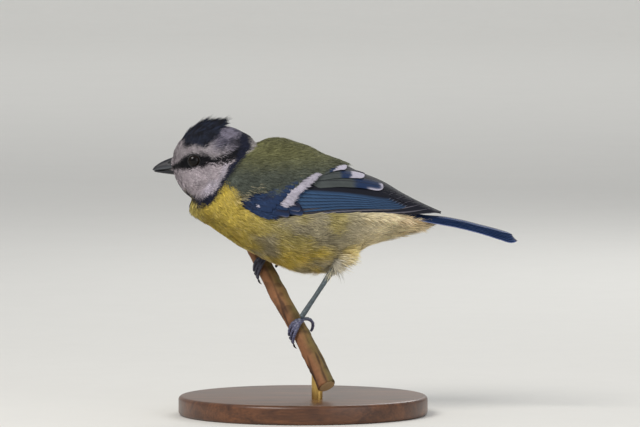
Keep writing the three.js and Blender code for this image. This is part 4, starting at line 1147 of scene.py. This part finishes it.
class Feathers:
    """Collects vanes into one mesh, each with a cell of its own on the UV map."""

    def __init__(self):
        self.points, self.faces, self.tone, self.vane, self.patch = [], [], [], [], []
        self.count = 0

    def add(self, top, normal, thick, colours, share, turn, seed):
        """Adds a vane from the grid of its top side."""
        rows, columns = share.shape
        under = top - normal * thick[..., None]
        faces = grid_faces(rows, columns) + sum(len(part) for part in self.points)
        cell = np.array([self.count % ATLAS, self.count // ATLAS % ATLAS]) / ATLAS
        place = np.stack([share * 0.9 + 0.05, (turn + 1) / 2 * 0.4 + 0.05], -1)
        low = place + [0, 0.47]
        self.points.append(np.concatenate([top.reshape(-1, 3), under.reshape(-1, 3)]))
        self.faces.append(faces)
        # Painted shade: the underside of each vane takes its top's colours at 0.8
        self.tone.append(np.concatenate([colours.reshape(-1, 3), colours.reshape(-1, 3) * 0.8]))
        marks = np.stack([share, turn, np.full_like(share, seed)], -1).reshape(-1, 3)
        self.vane.append(np.concatenate([marks, marks]))
        self.patch.append(np.concatenate([place.reshape(-1, 2), low.reshape(-1, 2)]) / ATLAS + cell)
        self.count += 1

    def mesh(self, name, mirrored):
        """All vanes as one mesh, for the right side or mirrored for the left."""
        points = np.concatenate(self.points)
        faces = np.concatenate(self.faces)
        if mirrored:
            points = points * [1, -1, 1]
            faces = faces[:, ::-1]
        rest = (np.concatenate(part) for part in (self.tone, self.vane, self.patch))
        return mesh_from(name, points, faces, *rest)


def wing_vane(feathers, root, tip, half, depth, bow, colour, seed, root_depth=None, pointed=False):
    """A vane on the folded wing, its back edge tucked under and its lower edge free."""
    rng = np.random.default_rng(seed)
    root_depth = depth + 0.6 if root_depth is None else root_depth
    share, turn = np.meshgrid(np.linspace(0, 1, VANE_ROWS) ** 0.9, VANE_TURNS, indexing="ij")
    x = root[0] + (tip[0] - root[0]) * share
    z = root[1] + (tip[1] - root[1]) * share + bow * np.sin(np.pi * share)
    wide = outline(share, pointed)
    frayed = sheet_grain((share * 14, turn * 1.5, seed), share.shape, 1.0, 2)
    ragged = 1 - 0.04 * frayed * step(np.abs(turn), 0.5, 1)
    reach = half * wide * ragged / wing_span(x[:, 0])[:, None]
    place = np.clip(wing_share(x, z) + turn * reach, -0.02, 1.03)
    sunk = depth + (root_depth - depth) * (1 - share) ** 2
    tuck = WING_TUCK * (1 - turn) / 2 * wide
    shaft = 0.07 * np.exp(-(turn / 0.09) ** 2) * (1 - share)
    camber = 0.1 * (1 - turn ** 2) * wide
    relief = (shaft + camber) * (0.4 + 0.6 * (x < LAYERS_CLOSE_FROM))
    lift = -layer_depth(x, np.minimum(sunk + tuck, 1.6)) + relief
    top, normal = wing_point(x, place, lift)
    rows = sheet_grain(((share - 0.1 * np.abs(turn)) * 30, 0, seed), share.shape, 1.0, 6)
    colours = colour(share, turn, top) * (1 + 0.14 * (rows - 0.5))[..., None]
    thick = np.full_like(share, VANE_THICK) * (1 - 0.5 * turn ** 2)
    feathers.add(top, normal, thick, colours, share, turn, rng.random())


def wing_colours(tone):
    """Colour functions of the kinds of wing feathers."""
    dark, blue, white = tone.dark, tone.web_blue, tone.white
    pale = tuple(0.6 * part for part in white)
    painted_highlight_blue = tuple(1.5 * part for part in blue)

    def shaft(turn):
        """Share of the dark line along a feather's middle."""
        return np.exp(-(turn / 0.07) ** 2) * 0.7

    def primary(share, turn, top):
        edge = step(turn, 0.7, 0.84) * step(0.97 - turn, 0, 0.06) * step(share, 0.1, 0.25)
        return layered(
            dark, (blue, step(turn, 0.1, 0.3) * (1 - step(share, 0.35, 0.6)) * 0.45),
            (pale, edge * (0.75 - 0.35 * share)), (dark, shaft(turn)),
            (white, step(share, 0.97, 0.99) * step(turn, 0, 0.5) * 0.5))

    def inner_primary(share, turn, top):
        return layered(
            dark, (pale, step(turn, 0.74, 0.9) * 0.22), (dark, shaft(turn)),
            (white, step(share, 0.97, 0.99) * step(turn, 0.2, 0.6) * 0.5))

    def outer_primary(share, turn, top):
        edge = step(turn, 0.8, 0.95) * step(share, 0.2, 0.5)
        return layered(dark, (pale, edge * 0.35), (dark, shaft(turn)))

    def secondary(share, turn, top):
        return layered(
            dark, (blue, step(turn, 0.15, 0.6) * (0.8 - 0.4 * step(share, 0.6, 1))),
            # Painted highlight: a brighter blue line near the outer edge of each secondary
            (painted_highlight_blue, step(turn, 0.76, 0.86) * 0.55), (dark, step(turn, 0.92, 0.98) * 0.8),
            (dark, shaft(turn)), (white, step(share, 0.975, 0.99) * step(turn, 0.3, 0.7) * 0.3))

    def tertial(share, turn, top, blue_from=0.58, pale_from=0.93, edge_from=0.76):
        away = share + 0.05 * (sheet_grain((share * 9, turn * 3, share), share.shape, 1, 5) - 0.5)
        band = step(0.16 - np.abs(turn - 0.55), 0, 0.12) * (1 - step(away, blue_from - 0.1, blue_from))
        edge = step(turn, 0.6, 0.8) * step(away, edge_from, edge_from + 0.08)
        return layered(
            tone.tertial, (tone.wing_blue, step(away, blue_from - 0.04, blue_from + 0.06)),
            (dark, step(-turn, 0.25, 0.6) * 0.5), (dark, band * 0.35), (dark, shaft(turn)),
            (white, np.maximum(step(away, pale_from, pale_from + 0.04), edge) * 0.78))

    def second_tertial(share, turn, top):
        return tertial(share, turn, top, 0.5, 0.7, 0.66)

    def third_tertial(share, turn, top):
        return tertial(share, turn, top, 0.3, 0.52, 0.4)

    def greater(share, turn, top):
        ragged = 0.5 * grain(top.reshape(-1, 3), (3, 3, 0.5), 6) - 0.25
        side = top[..., [0, 2]].reshape(-1, 2) + ragged[:, None] * [1, 0]
        bar = line_mask(side, [row[1:] for row in WING_BAR], 0.3).reshape(share.shape)
        return layered(tone.wing_blue, (dark, step(-turn, 0.1, 0.5) * 0.5), (white, bar * 0.8))

    def median(share, turn, top):
        slate = layered(tone.wing_blue, (tone.mantle_low, step(top[..., 2], 72.5, 76)))
        return layered(slate, (dark, step(np.abs(turn), 0.75, 1) * 0.35), (dark, shaft(turn) * 0.5))

    def primary_covert(share, turn, top):
        return layered(
            tone.collar, (tone.wing_blue, step(turn, -0.2, 0.4) * 0.8),
            (white, step(turn, 0.8, 0.95) * step(share, 0.6, 0.8) * 0.3))

    kinds = (
        primary, inner_primary, outer_primary, secondary, tertial, second_tertial, third_tertial, greater,
        median, primary_covert)
    return {kind.__name__: kind for kind in kinds}


def wing_feathers(tone):
    """All vanes of one folded wing, deepest first."""
    kinds = wing_colours(tone)
    feathers = Feathers()
    for i, tip in enumerate(PRIMARY_TIPS):
        kind = "outer_primary" if i == len(PRIMARY_TIPS) - 1 else "inner_primary" if i < 3 else "primary"
        root = (-5, 67.0 - 0.36 * i)
        wing_vane(feathers, root, tip, 2.0, 0.62 + 0.07 * i, 0.3, kinds[kind], 40 + i, pointed=True)
    for i in range(SECONDARIES):
        root, tip = (-4.5, 66.6 + 1.2 * i), (32.6 - 1.0 * i, 66.2 + 0.45 * i)
        wing_vane(feathers, root, tip, 1.7, 0.6 - 0.05 * i, 0.7, kinds["secondary"], 60 + i)
    for root, tip, half, depth, bow, kind, seed in WING_SINGLES:
        wing_vane(feathers, root, tip, half, depth, bow, kinds[kind], seed)
    for count, first, way, back, half, (depth, root_depth), kind, seed in COVERT_ROWS:
        for i, share in enumerate(np.linspace(0, 1, count)):
            tip = (first[0] + way[0] * share, first[1] + way[1] * share)
            root = (tip[0] + back[0], tip[1] + back[1])
            wing_vane(feathers, root, tip, half, depth, 0, kinds[kind], seed + i, root_depth)
    return feathers


def wing_sheet(feathers, x, share, lift, thick, colour, seed):
    """A plain sheet under the vanes of the wing."""
    top, normal = wing_point(x, share, lift)
    colours = np.broadcast_to(colour, (*x.shape, 3))
    along = (x - x[0, 0]) / (x[-1, 0] - x[0, 0])
    feathers.add(top, normal, np.full_like(x, thick), colours, along, share * 2 - 1, seed)


def under_sheets(feathers, tone):
    """The arm of the wing under its coverts, and the dark inner webs that close the hand's back edge."""
    x, share = np.meshgrid(np.linspace(-20, 20, 44), np.linspace(0.02, 0.98, 18), indexing="ij")
    lift = -np.interp(x, [-20, -10, 0, 20], [0.6, 0.7, 1.35, 1.5])
    wing_sheet(feathers, x, share, lift, 0.25, np.asarray(tone.dark), 0.5)
    x, share = np.meshgrid(np.linspace(6, 43, 60), np.linspace(0, 0.96, 14), indexing="ij")
    wing_sheet(feathers, x, share, -layer_depth(x, 1.25), 0.2, 0.8 * np.asarray(tone.dark), 0.25)


def mirrored_tufts(top, normal, run, sign, *rest):
    """Tufts on the wing of either side."""
    mirror = np.array([1, sign, 1])
    return tufts(top * mirror, normal * mirror, run * mirror, *rest)


def bar_tufts(tone, sign, seed):
    """Loose white tips of the greater coverts, which make the bar one soft stroke."""
    rng = np.random.default_rng(seed)
    count = BAR_TUFTS
    x, z, half = columns(WING_BAR, rng.uniform(0, 1, count))
    x = x + half * rng.uniform(-1, 1, count) * 0.7 - 1.5
    z = z + half * rng.normal(0, 0.25, count)
    top, normal = wing_point(x, wing_share(x, z), np.full(count, -0.16))
    run = along_surface(np.array([1, 0, -0.3]), normal)
    colour = np.asarray(tone.white) * rng.uniform(0.66, 0.8, (count, 1))
    return mirrored_tufts(
        top, normal, run, sign, rng.uniform(2.4, 3.2, count), np.full(count, 0.12), np.full(count, 0.22),
        0.1, 5, colour * 1.25, colour, seed, BODY_CENTRE)


def small_coverts(tone, sign, seed):
    """Little feathers over the bend of the wing, with their arrays in millimetres."""
    rng = np.random.default_rng(seed)
    x = rng.uniform(-20.2, -0.5, SMALL_COVERTS)
    share = rng.uniform(0, 1, SMALL_COVERTS)
    top, normal = wing_point(x, share, np.full(SMALL_COVERTS, -0.62))
    edge = np.interp(top[:, 2], [66, 75], [-10.5, -2.0])
    keep = x < edge + rng.normal(0, 0.5, SMALL_COVERTS)
    x, top, normal = x[keep], top[keep], normal[keep]
    run = along_surface(np.array([1, 0, -0.16]), normal)
    count = len(x)
    length = rng.uniform(2.4, 3.4, count)
    seen = top + run * (length * 0.6)[:, None]
    height = top[:, 2] - course(WING, x)[:, 3]
    olive = step(height + 0.12 * (x + 10) + rng.normal(0, 0.5, count), 6.0, 9.0)
    yellow = step(-seen[:, 0] + 0.5 * grain(seen, 1.2, 4), 18.9, 20) * step(4.5 - height, 0, 1.5)
    spot = np.linalg.norm(seen[:, [0, 2]] - SMALL_COVERT_SPOT, axis=1) < 0.38
    colour = layered(
        tone.wing_blue, (tone.collar, step(grain(seen, (1.8, 3, 0.9), 31), 0.5, 0.7) * 0.55),
        (0.75 * np.asarray(tone.mantle_low), olive * 0.9), (tone.breast, yellow * 0.8),
        (0.7 * np.asarray(tone.white), spot))
    return mirrored_tufts(
        top, normal, run, sign, length, np.full(count, 0.42), np.full(count, 0.5), 0.34, 6,
        colour, colour * 1.3 + 0.004, seed, BODY_CENTRE)


class BIRD_OT_wings(bpy.types.Operator):
    """Both folded wings: flight feathers, coverts, the white bar and the little feathers of the bend"""

    bl_idname = "bird.wings"
    bl_label = "Wings"

    def execute(self, context):
        tone = context.scene.bird_plumage
        material = vane_material("wing_vanes", 0.6, 26.0, 0.34, 0.0)
        for name, sign in SIDES.items():
            feathers = wing_feathers(tone)
            under_sheets(feathers, tone)
            wing = f"wing_{name}"
            vanes = feathers.mesh(f"{wing}_vanes", sign < 0)
            mount(f"{wing}_vanes", vanes, "wing_feathers", material, wing)
            mount_tufts(f"{wing}_coverts", small_coverts(tone, sign, 300), "wing_feathers")
            mount_tufts(f"{wing}_bar", bar_tufts(tone, sign, 310), "wing_feathers")
        return {"FINISHED"}


class BIRD_OT_tail(bpy.types.Operator):
    """The closed tail, in pairs of feathers from the middle outwards"""

    bl_idname = "bird.tail"
    bl_label = "Tail"

    def execute(self, context):
        tone = context.scene.bird_plumage
        feathers = Feathers()
        share, turn = np.meshgrid(np.linspace(0, 1, TAIL_ROWS) ** 0.9, VANE_TURNS, indexing="ij")
        wide = outline(0.3 + 0.7 * share, False)
        for pair, sign in itertools.product(range(TAIL_PAIRS), (-1, 1)):
            outermost = pair == TAIL_PAIRS - 1
            rank = pair / (TAIL_PAIRS - 1)
            first, end = TAIL[0][0] + 0.3, TAIL[-1][0] - 0.3 * (TAIL_PAIRS - 1 - pair)
            x = first + (end - first) * share
            top, bottom, half = columns(TAIL, x)
            reach = np.minimum(TAIL_FEATHER_HALF, half * TAIL_FEATHER_SHARE)
            frayed = sheet_grain((share * 30, turn * 2, pair + sign), share.shape, 1.0, 2)
            ragged = 1 - 0.1 * frayed * step(np.abs(turn), 0.5, 1)
            y = sign * (0.15 + 0.85 * rank) * (half - reach) + turn * (reach * wide * ragged)
            level = top - TAIL_ARCH / 2 - (top - bottom - TAIL_ARCH - 0.3) * rank - (0.18 if sign > 0 else 0)
            out = sign * turn
            z = level - TAIL_ARCH * (y / half) ** 2 / 2 - 0.35 * (out + 1) / 2 * wide
            z += 0.08 * np.exp(-(turn / 0.09) ** 2) * (1 - share)
            rim = (tone.white, step(out, 0.9, 0.98) * 0.35)
            edge = (tone.dark, step(out, 0.7, 0.9) * 0.7)
            shaft = (tone.dark, np.exp(-(turn / 0.07) ** 2) * 0.8)
            colours = layered(
                tone.dark, (tone.tail_blue, step(out, -0.5, -0.1)), shaft, rim if outermost else edge,
                (tone.white, step(share, 0.985, 1.0) * 0.6))
            normal = np.broadcast_to(UP, (*x.shape, 3))
            thick = np.full_like(x, VANE_THICK)
            seed = pair * 0.13 + sign * 0.05
            feathers.add(np.stack([x, y, z], -1), normal, thick, colours, share, turn, seed)
        material = vane_material("tail_vanes", 0.5, 60.0, 0.3, 0.04)
        mount("tail_vanes", feathers.mesh("tail_vanes", False), "tail_feathers", material, "tail")
        return {"FINISHED"}


def bill_mesh(rows, upper):
    """Half of the bill: a closed form whose widest line lies near the cutting edge."""
    table = []
    for x, top, bottom, half in rows:
        depth = BILL_BELT * (top - bottom)
        table.append((x, top, bottom, half, bottom + depth if upper else top - depth))
    bm = bmesh.new()
    loft(bm, table, 0.5, 0.6, 48, 44)
    return finish_mesh(bm, "bill")


class BIRD_OT_bill(bpy.types.Operator):
    """Both halves of the bill"""

    bl_idname = "bird.bill"
    bl_label = "Bill"

    def execute(self, context):
        horn = context.scene.bird_horn
        material = finish(
            "bill_horn", 0.42, None, "fine_grain", (0.2, 0.04),
            {"Scale": 900.0, "Contrast": 0.12, "Stretch": (0.35, 1, 1.6)}, specular_ior_level=0.35)
        upper = [(x, top, bottom - 0.16, half) for x, top, bottom, half in BILL_UPPER]
        lower = [(x, top + 0.2, bottom, half) for x, top, bottom, half in BILL_LOWER]
        # The last number of each half is the strength of its painted highlight
        for name, rows, pale in (("bill_upper", upper, 0.75), ("bill_lower", lower, 0.1)):
            mesh = bill_mesh(rows, rows is upper)
            points = coordinates(mesh)
            top, bottom, _ = columns(rows, points[:, 0])
            height = (points[:, 2] - bottom) / np.maximum(top - bottom, 0.1)
            edge = height if rows is upper else 1 - height
            # Painted highlight of paler slate along the cutting edge, strong on the upper half and faint on
            # the lower
            tone = layered(
                horn.bill, (horn.bill_highlight, step(0.55 - edge, 0, 0.4) * pale),
                # Painted shade in the seam between the two halves
                (SEAM_AND_NOSTRIL_SHADE, step(0.2 - edge, 0, 0.08) * 0.85))
            for side in SIDES.values():
                hole = (points - on_side(NOSTRIL, side)) / [1.5, 1, 0.8]
                pit = step(0.5 - np.linalg.norm(hole, axis=1), 0, 0.2)
                points[:, 1] -= side * 0.35 * pit
                # Painted shade in the nostril's pit
                tone = layered(tone, (SEAM_AND_NOSTRIL_SHADE, pit))
            place_vertices(mesh, points)
            paint_vertices(mesh, tone)
            mount(f"{name}_horn", mesh, "bill_horn", material, name)
        return {"FINISHED"}


def turned_ring(bm, centre, radius, tube, around, section):
    """A torus with its axis along Y, from a circle spun round."""
    made = bmesh.ops.create_circle(bm, segments=section, radius=tube * MM)["verts"]
    bmesh.ops.translate(bm, vec=(radius * MM, 0, 0), verts=made)
    edges = list({edge for vertex in made for edge in vertex.link_edges})
    bmesh.ops.spin(
        bm, geom=made + edges, cent=(0, 0, 0), axis=(0, 1, 0), angle=2 * np.pi, steps=around, use_merge=True)
    bmesh.ops.remove_doubles(bm, verts=bm.verts, dist=0.01 * MM)
    bmesh.ops.translate(bm, vec=Vector(centre) * MM, verts=bm.verts)


class BIRD_OT_eyes(bpy.types.Operator):
    """Eyes with their lids"""

    bl_idname = "bird.eyes"
    bl_label = "Eyes"

    def execute(self, context):
        horn = context.scene.bird_horn
        wet = finish(
            "eye_gloss", 0.05, None, "fine_grain", (0.02, 0.01), {"Scale": 1500.0, "Contrast": 0.3},
            coat_weight=0.05, coat_roughness=0.02, specular_ior_level=0.16)
        lid_skin = horn_material("lid_skin", 0.45, horn.lid, 2500.0, 0.3, (1, 1, 1))
        for name, side in SIDES.items():
            centre = on_side(EYE_CENTRE, side)
            bm = bmesh.new()
            bmesh.ops.create_uvsphere(
                bm, u_segments=64, v_segments=40, radius=EYE_RADIUS * MM,
                matrix=Matrix.Translation(Vector(centre) * MM))
            mesh = finish_mesh(bm, "eyeball")
            aim = unit(coordinates(mesh) - centre) @ np.array([0, side, 0])
            rim = step(0.9 - aim, 0, 0.06) * step(aim, 0.5, 0.7)
            paint_vertices(mesh, layered(horn.iris, (EYE_RING, rim)))
            mount(f"eye_{name}_ball", mesh, "eye", wet, f"eye_{name}")
            bm = bmesh.new()
            turned_ring(bm, centre + [0, side * LID_OUT, 0], LID_RADIUS, LID_TUBE, 56, 14)
            mount(f"lid_{name}", finish_mesh(bm, "lid"), "head_plumage", lid_skin)
        return {"FINISHED"}


class BIRD_OT_legs(bpy.types.Operator):
    """Legs, toes and claws"""

    bl_idname = "bird.legs"
    bl_label = "Legs"

    def execute(self, context):
        horn = context.scene.bird_horn
        scales, tree, shader = new_material(
            "leg_scales", 0.4, specular_ior_level=0.45, coat_weight=0.1, coat_roughness=0.3)
        turned = mapped(tree, Rotation=(0, np.radians(34), 0), Scale=(0.45, 0.45, 1))
        cells = add_node(
            tree, "ShaderNodeTexVoronoi", {"Vector": turned, "Scale": 1500.0}, feature="DISTANCE_TO_EDGE")
        plate = maths(tree, "MINIMUM", maths(tree, "MULTIPLY", cells.outputs["Distance"], 6.0), 1.0)
        shade = maths(tree, "ADD", maths(tree, "MULTIPLY", plate, 0.6), 0.5)
        tint, _ = shaded(tree, tone_of(tree), "fine_grain", Scale=1200.0, Contrast=0.35)
        scaled = add_node(tree, "ShaderNodeVectorMath", {0: tint, "Scale": shade}, operation="SCALE")
        tree.links.new(scaled.outputs[0], shader.inputs["Base Color"])
        bumped(tree, shader, 0.7, 0.08 * MM, plate)
        claw = horn_material("claw_horn", 0.3, horn.claw, 1400.0, 0.3, (1, 1, 1), specular_ior_level=0.5)
        for side, light in LEG_SHADE.items():
            tarsus, foot = f"tarsus_{side}", f"foot_{side}"
            mesh = smooth_copy([tarsus, foot], horn.leg_cell, 4)
            foot_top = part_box(foot)[1].z / MM
            on_foot = step(foot_top - coordinates(mesh)[:, 2], -0.5, 1.5)
            paint_vertices(mesh, layered(horn.leg, (horn.toes, on_foot)) * light)
            mount(f"leg_{side}_scales", mesh, "leg_scales", scales, tarsus, foot)
            for number in range(1, 5):
                name = f"claw_{side}_{number}"
                mount(f"{name}_horn", smooth_copy([name], horn.leg_cell * 0.55, 3), "claw_horn", claw, name)
        return {"FINISHED"}


class BIRD_OT_twig(bpy.types.Operator):
    """The cut length of twig that the bird grips"""

    bl_idname = "bird.twig"
    bl_label = "Twig"

    def execute(self, context):
        stand = context.scene.bird_stand
        mesh = smooth_copy(["perch"], 0.28 * MM, 5)
        points, normals = coordinates(mesh), directions(mesh)
        axis = unit(points[points[:, 2].argmin()] - points[points[:, 2].argmax()])
        along = points @ axis
        flat = points - along[:, None] * axis
        rough = grain(flat + 0.16 * along[:, None] * axis, 0.9, 2) - 0.5
        knob = step(grain(points, 2.4, 8), 0.6, 0.8)
        inner = np.minimum(along - along.min(), along.max() - along)
        points += normals * (0.28 * rough + 0.16 * knob)[:, None] * step(inner, 0, 0.8)[:, None]
        place_vertices(mesh, points)
        green = step(points[:, 0] + 0.9 * (points[:, 2] - 33) * 0.62 + 5, -1, 2.5)
        cut = step(np.abs(normals @ axis), 0.85, 0.95) * step(0.8 - inner, 0, 0.3)
        paint_vertices(mesh, layered(
            stand.bark, (stand.bark_green, green * (0.35 + 0.5 * grain(points, 2.2, 5))),
            (stand.bark_dark, step(-rough, 0.05, 0.35) * 0.8), (stand.bark_dark, knob * 0.5),
            (stand.heartwood, cut)))
        material = finish(
            "bark", 0.78, None, "fine_grain", (0.7, 0.15), {"Scale": 1500.0, "Contrast": 0.4},
            specular_ior_level=0.3)
        mount("twig_bark", mesh, "bark", material, "perch")
        return {"FINISHED"}


def turned_bar(node, around, bevel, rounds):
    """A round upright bar that fills a CAD node's box, its rims bevelled."""
    low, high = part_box(node)
    radius = (high.x - low.x) / 2
    bm = bmesh.new()
    bmesh.ops.create_cone(
        bm, cap_ends=True, segments=around, radius1=radius, radius2=radius, depth=high.z - low.z,
        matrix=Matrix.Translation((low + high) / 2))
    rims = [edge for edge in bm.edges if abs(edge.verts[0].co.z - edge.verts[1].co.z) < 1e-6]
    bmesh.ops.bevel(
        bm, geom=rims, offset=bevel * MM, segments=rounds, profile=0.5, affect="EDGES", material=-1)
    return finish_mesh(bm, node)


class BIRD_OT_stand(bpy.types.Operator):
    """The turned base and the rod"""

    bl_idname = "bird.stand"
    bl_label = "Stand"

    def execute(self, context):
        stand = context.scene.bird_stand
        wood, tree, shader = new_material(
            "walnut", 0.38, specular_ior_level=0.4, coat_weight=0.25, coat_roughness=0.25)
        bent = mapped(tree, Scale=(1, 9, 9), Rotation=(0, 0, 0.2))
        wide = noise(tree, bent, 26.0, Detail=6.0, Distortion=0.8)
        fine = noise(tree, bent, 190.0, Detail=4.0)
        share = maths(tree, "MULTIPLY", wide, maths(tree, "ADD", fine, 0.5))
        ramp = add_node(tree, "ShaderNodeMapRange", {"Value": share, "From Min": 0.3, "From Max": 0.75})
        # The colours of a mix node are its sockets 6 and 7 and its output 2
        grains = {0: ramp.outputs[0], 6: (*stand.wood, 1), 7: (*stand.wood_light, 1)}
        colour = add_node(tree, "ShaderNodeMix", grains, data_type="RGBA").outputs[2]
        tree.links.new(colour, shader.inputs["Base Color"])
        bumped(tree, shader, 0.2, 0.1 * MM, fine)
        mount("base_wood", turned_bar("stand_base", 160, 1.2, 6), "wood", wood, "stand_base")
        brass = horn_material("brass", 0.28, stand.brass, 700.0, 0.08, (1, 1, 0.05), metallic=1.0)
        mount("rod_brass", turned_bar("stand_rod", 64, 0.2, 3), "brass", brass, "stand_rod")
        return {"FINISHED"}


def area_light(name, place, aim, size, power, colour=(1, 1, 1)):
    """A round lamp that points from a place to an aim."""
    lamp = bpy.data.lights.new(name, "AREA")
    lamp.shape = "DISK"
    lamp.size = size
    lamp.energy = power
    lamp.color = colour
    holder = bpy.data.objects.new(name, lamp)
    holder.location = place
    holder.rotation_euler = (Vector(aim) - Vector(place)).to_track_quat("-Z", "Y").to_euler()
    bpy.context.scene.collection.objects.link(holder)


class BIRD_OT_studio(bpy.types.Operator):
    """Floor, backdrop, lights and camera"""

    bl_idname = "bird.studio"
    bl_label = "Studio"

    def execute(self, context):
        stage = context.scene.bird_stage
        bm = bmesh.new()
        bmesh.ops.create_grid(bm, x_segments=1, y_segments=1, size=FLOOR_HALF)
        rear = [edge for edge in bm.edges if all(vertex.co.y > 0 for vertex in edge.verts)]
        risen = bmesh.ops.extrude_edge_only(bm, edges=rear)["geom"]
        corners = [part for part in risen if isinstance(part, bmesh.types.BMVert)]
        bmesh.ops.translate(bm, vec=(0, 0, WALL_HEIGHT), verts=corners)
        bmesh.ops.bevel(
            bm, geom=rear, offset=WALL_BEND, segments=24, profile=0.5, affect="EDGES", material=-1)
        floor = bpy.data.objects.new("floor", finish_mesh(bm, "floor"))
        context.scene.collection.objects.link(floor)
        floor.data.materials.append(finish(
            "pale_floor", 0.85, stage.floor, "fine_grain", (0.05, 0.1), {"Scale": 90.0, "Contrast": 0.03},
            specular_ior_level=0.2))
        context.scene.view_settings.view_transform = "Standard"
        world = bpy.data.worlds.new("studio")
        world.use_nodes = True
        sky = world.node_tree.nodes["Background"].inputs
        sky["Color"].default_value = (0.86, 0.87, 0.9, 1)
        sky["Strength"].default_value = 0.52
        context.scene.world = world
        aim = (0, 0, VIEW_CENTRE[2] * MM)
        area_light("key", (-0.45, -0.6, 0.75), aim, 0.5, stage.key_power, (1, 0.97, 0.93))
        area_light("fill", (0.7, -0.7, 0.3), aim, 0.8, stage.fill_power, (0.94, 0.97, 1))
        area_light("rim", (0.3, 0.7, 0.6), aim, 0.5, stage.fill_power)
        area_light("backdrop", (0, 2, 2.4), (0, FLOOR_HALF, 0.5), 1.6, stage.backdrop_power)
        camera = bpy.data.objects.new("camera", bpy.data.cameras.new("camera"))
        camera.data.lens = stage.lens
        camera.data.sensor_width = SENSOR
        distance = stage.view_width * stage.lens / SENSOR
        aside = Vector((0, -np.cos(stage.elevation), np.sin(stage.elevation)))
        camera.location = Vector(VIEW_CENTRE) * MM + distance * aside
        camera.rotation_euler = (np.pi / 2 - stage.elevation, 0, 0)
        camera.data.clip_start = 0.05
        context.scene.collection.objects.link(camera)
        context.scene.camera = camera
        return {"FINISHED"}


class BIRD_PT_panel(bpy.types.Panel):
    """Lists the steps that build the bird"""

    bl_idname = "BIRD_PT_panel"
    bl_label = "Bird"
    bl_space_type = "VIEW_3D"
    bl_region_type = "UI"
    bl_category = "Bird"

    def draw(self, context):
        for kind in STEPS:
            self.layout.operator(kind.bl_idname)
        for name in SETTINGS:
            box = self.layout.box()
            for key in getattr(context.scene, name).bl_rna.properties.keys():
                if key not in {"rna_type", "name"}:
                    box.prop(getattr(context.scene, name), key)


STEPS = (
    BIRD_OT_skin, BIRD_OT_coat, BIRD_OT_wisps, BIRD_OT_crest, BIRD_OT_wings, BIRD_OT_tail, BIRD_OT_bill,
    BIRD_OT_eyes, BIRD_OT_legs, BIRD_OT_twig, BIRD_OT_stand, BIRD_OT_studio,
)
SETTINGS = {
    "bird_plumage": BirdPlumage, "bird_horn": BirdHorn, "bird_stand": BirdStand, "bird_stage": BirdStage,
}


def register():
    for kind in (*SETTINGS.values(), *STEPS, BIRD_PT_panel):
        bpy.utils.register_class(kind)
    for name, kind in SETTINGS.items():
        setattr(bpy.types.Scene, name, bpy.props.PointerProperty(type=kind))


def unregister():
    for name in SETTINGS:
        delattr(bpy.types.Scene, name)
    for kind in reversed((*SETTINGS.values(), *STEPS, BIRD_PT_panel)):
        bpy.utils.unregister_class(kind)


def main():
    register()
    for kind in STEPS:
        group, name = kind.bl_idname.split(".")
        getattr(getattr(bpy.ops, group), name)()


if __name__ == "__main__":
    main()
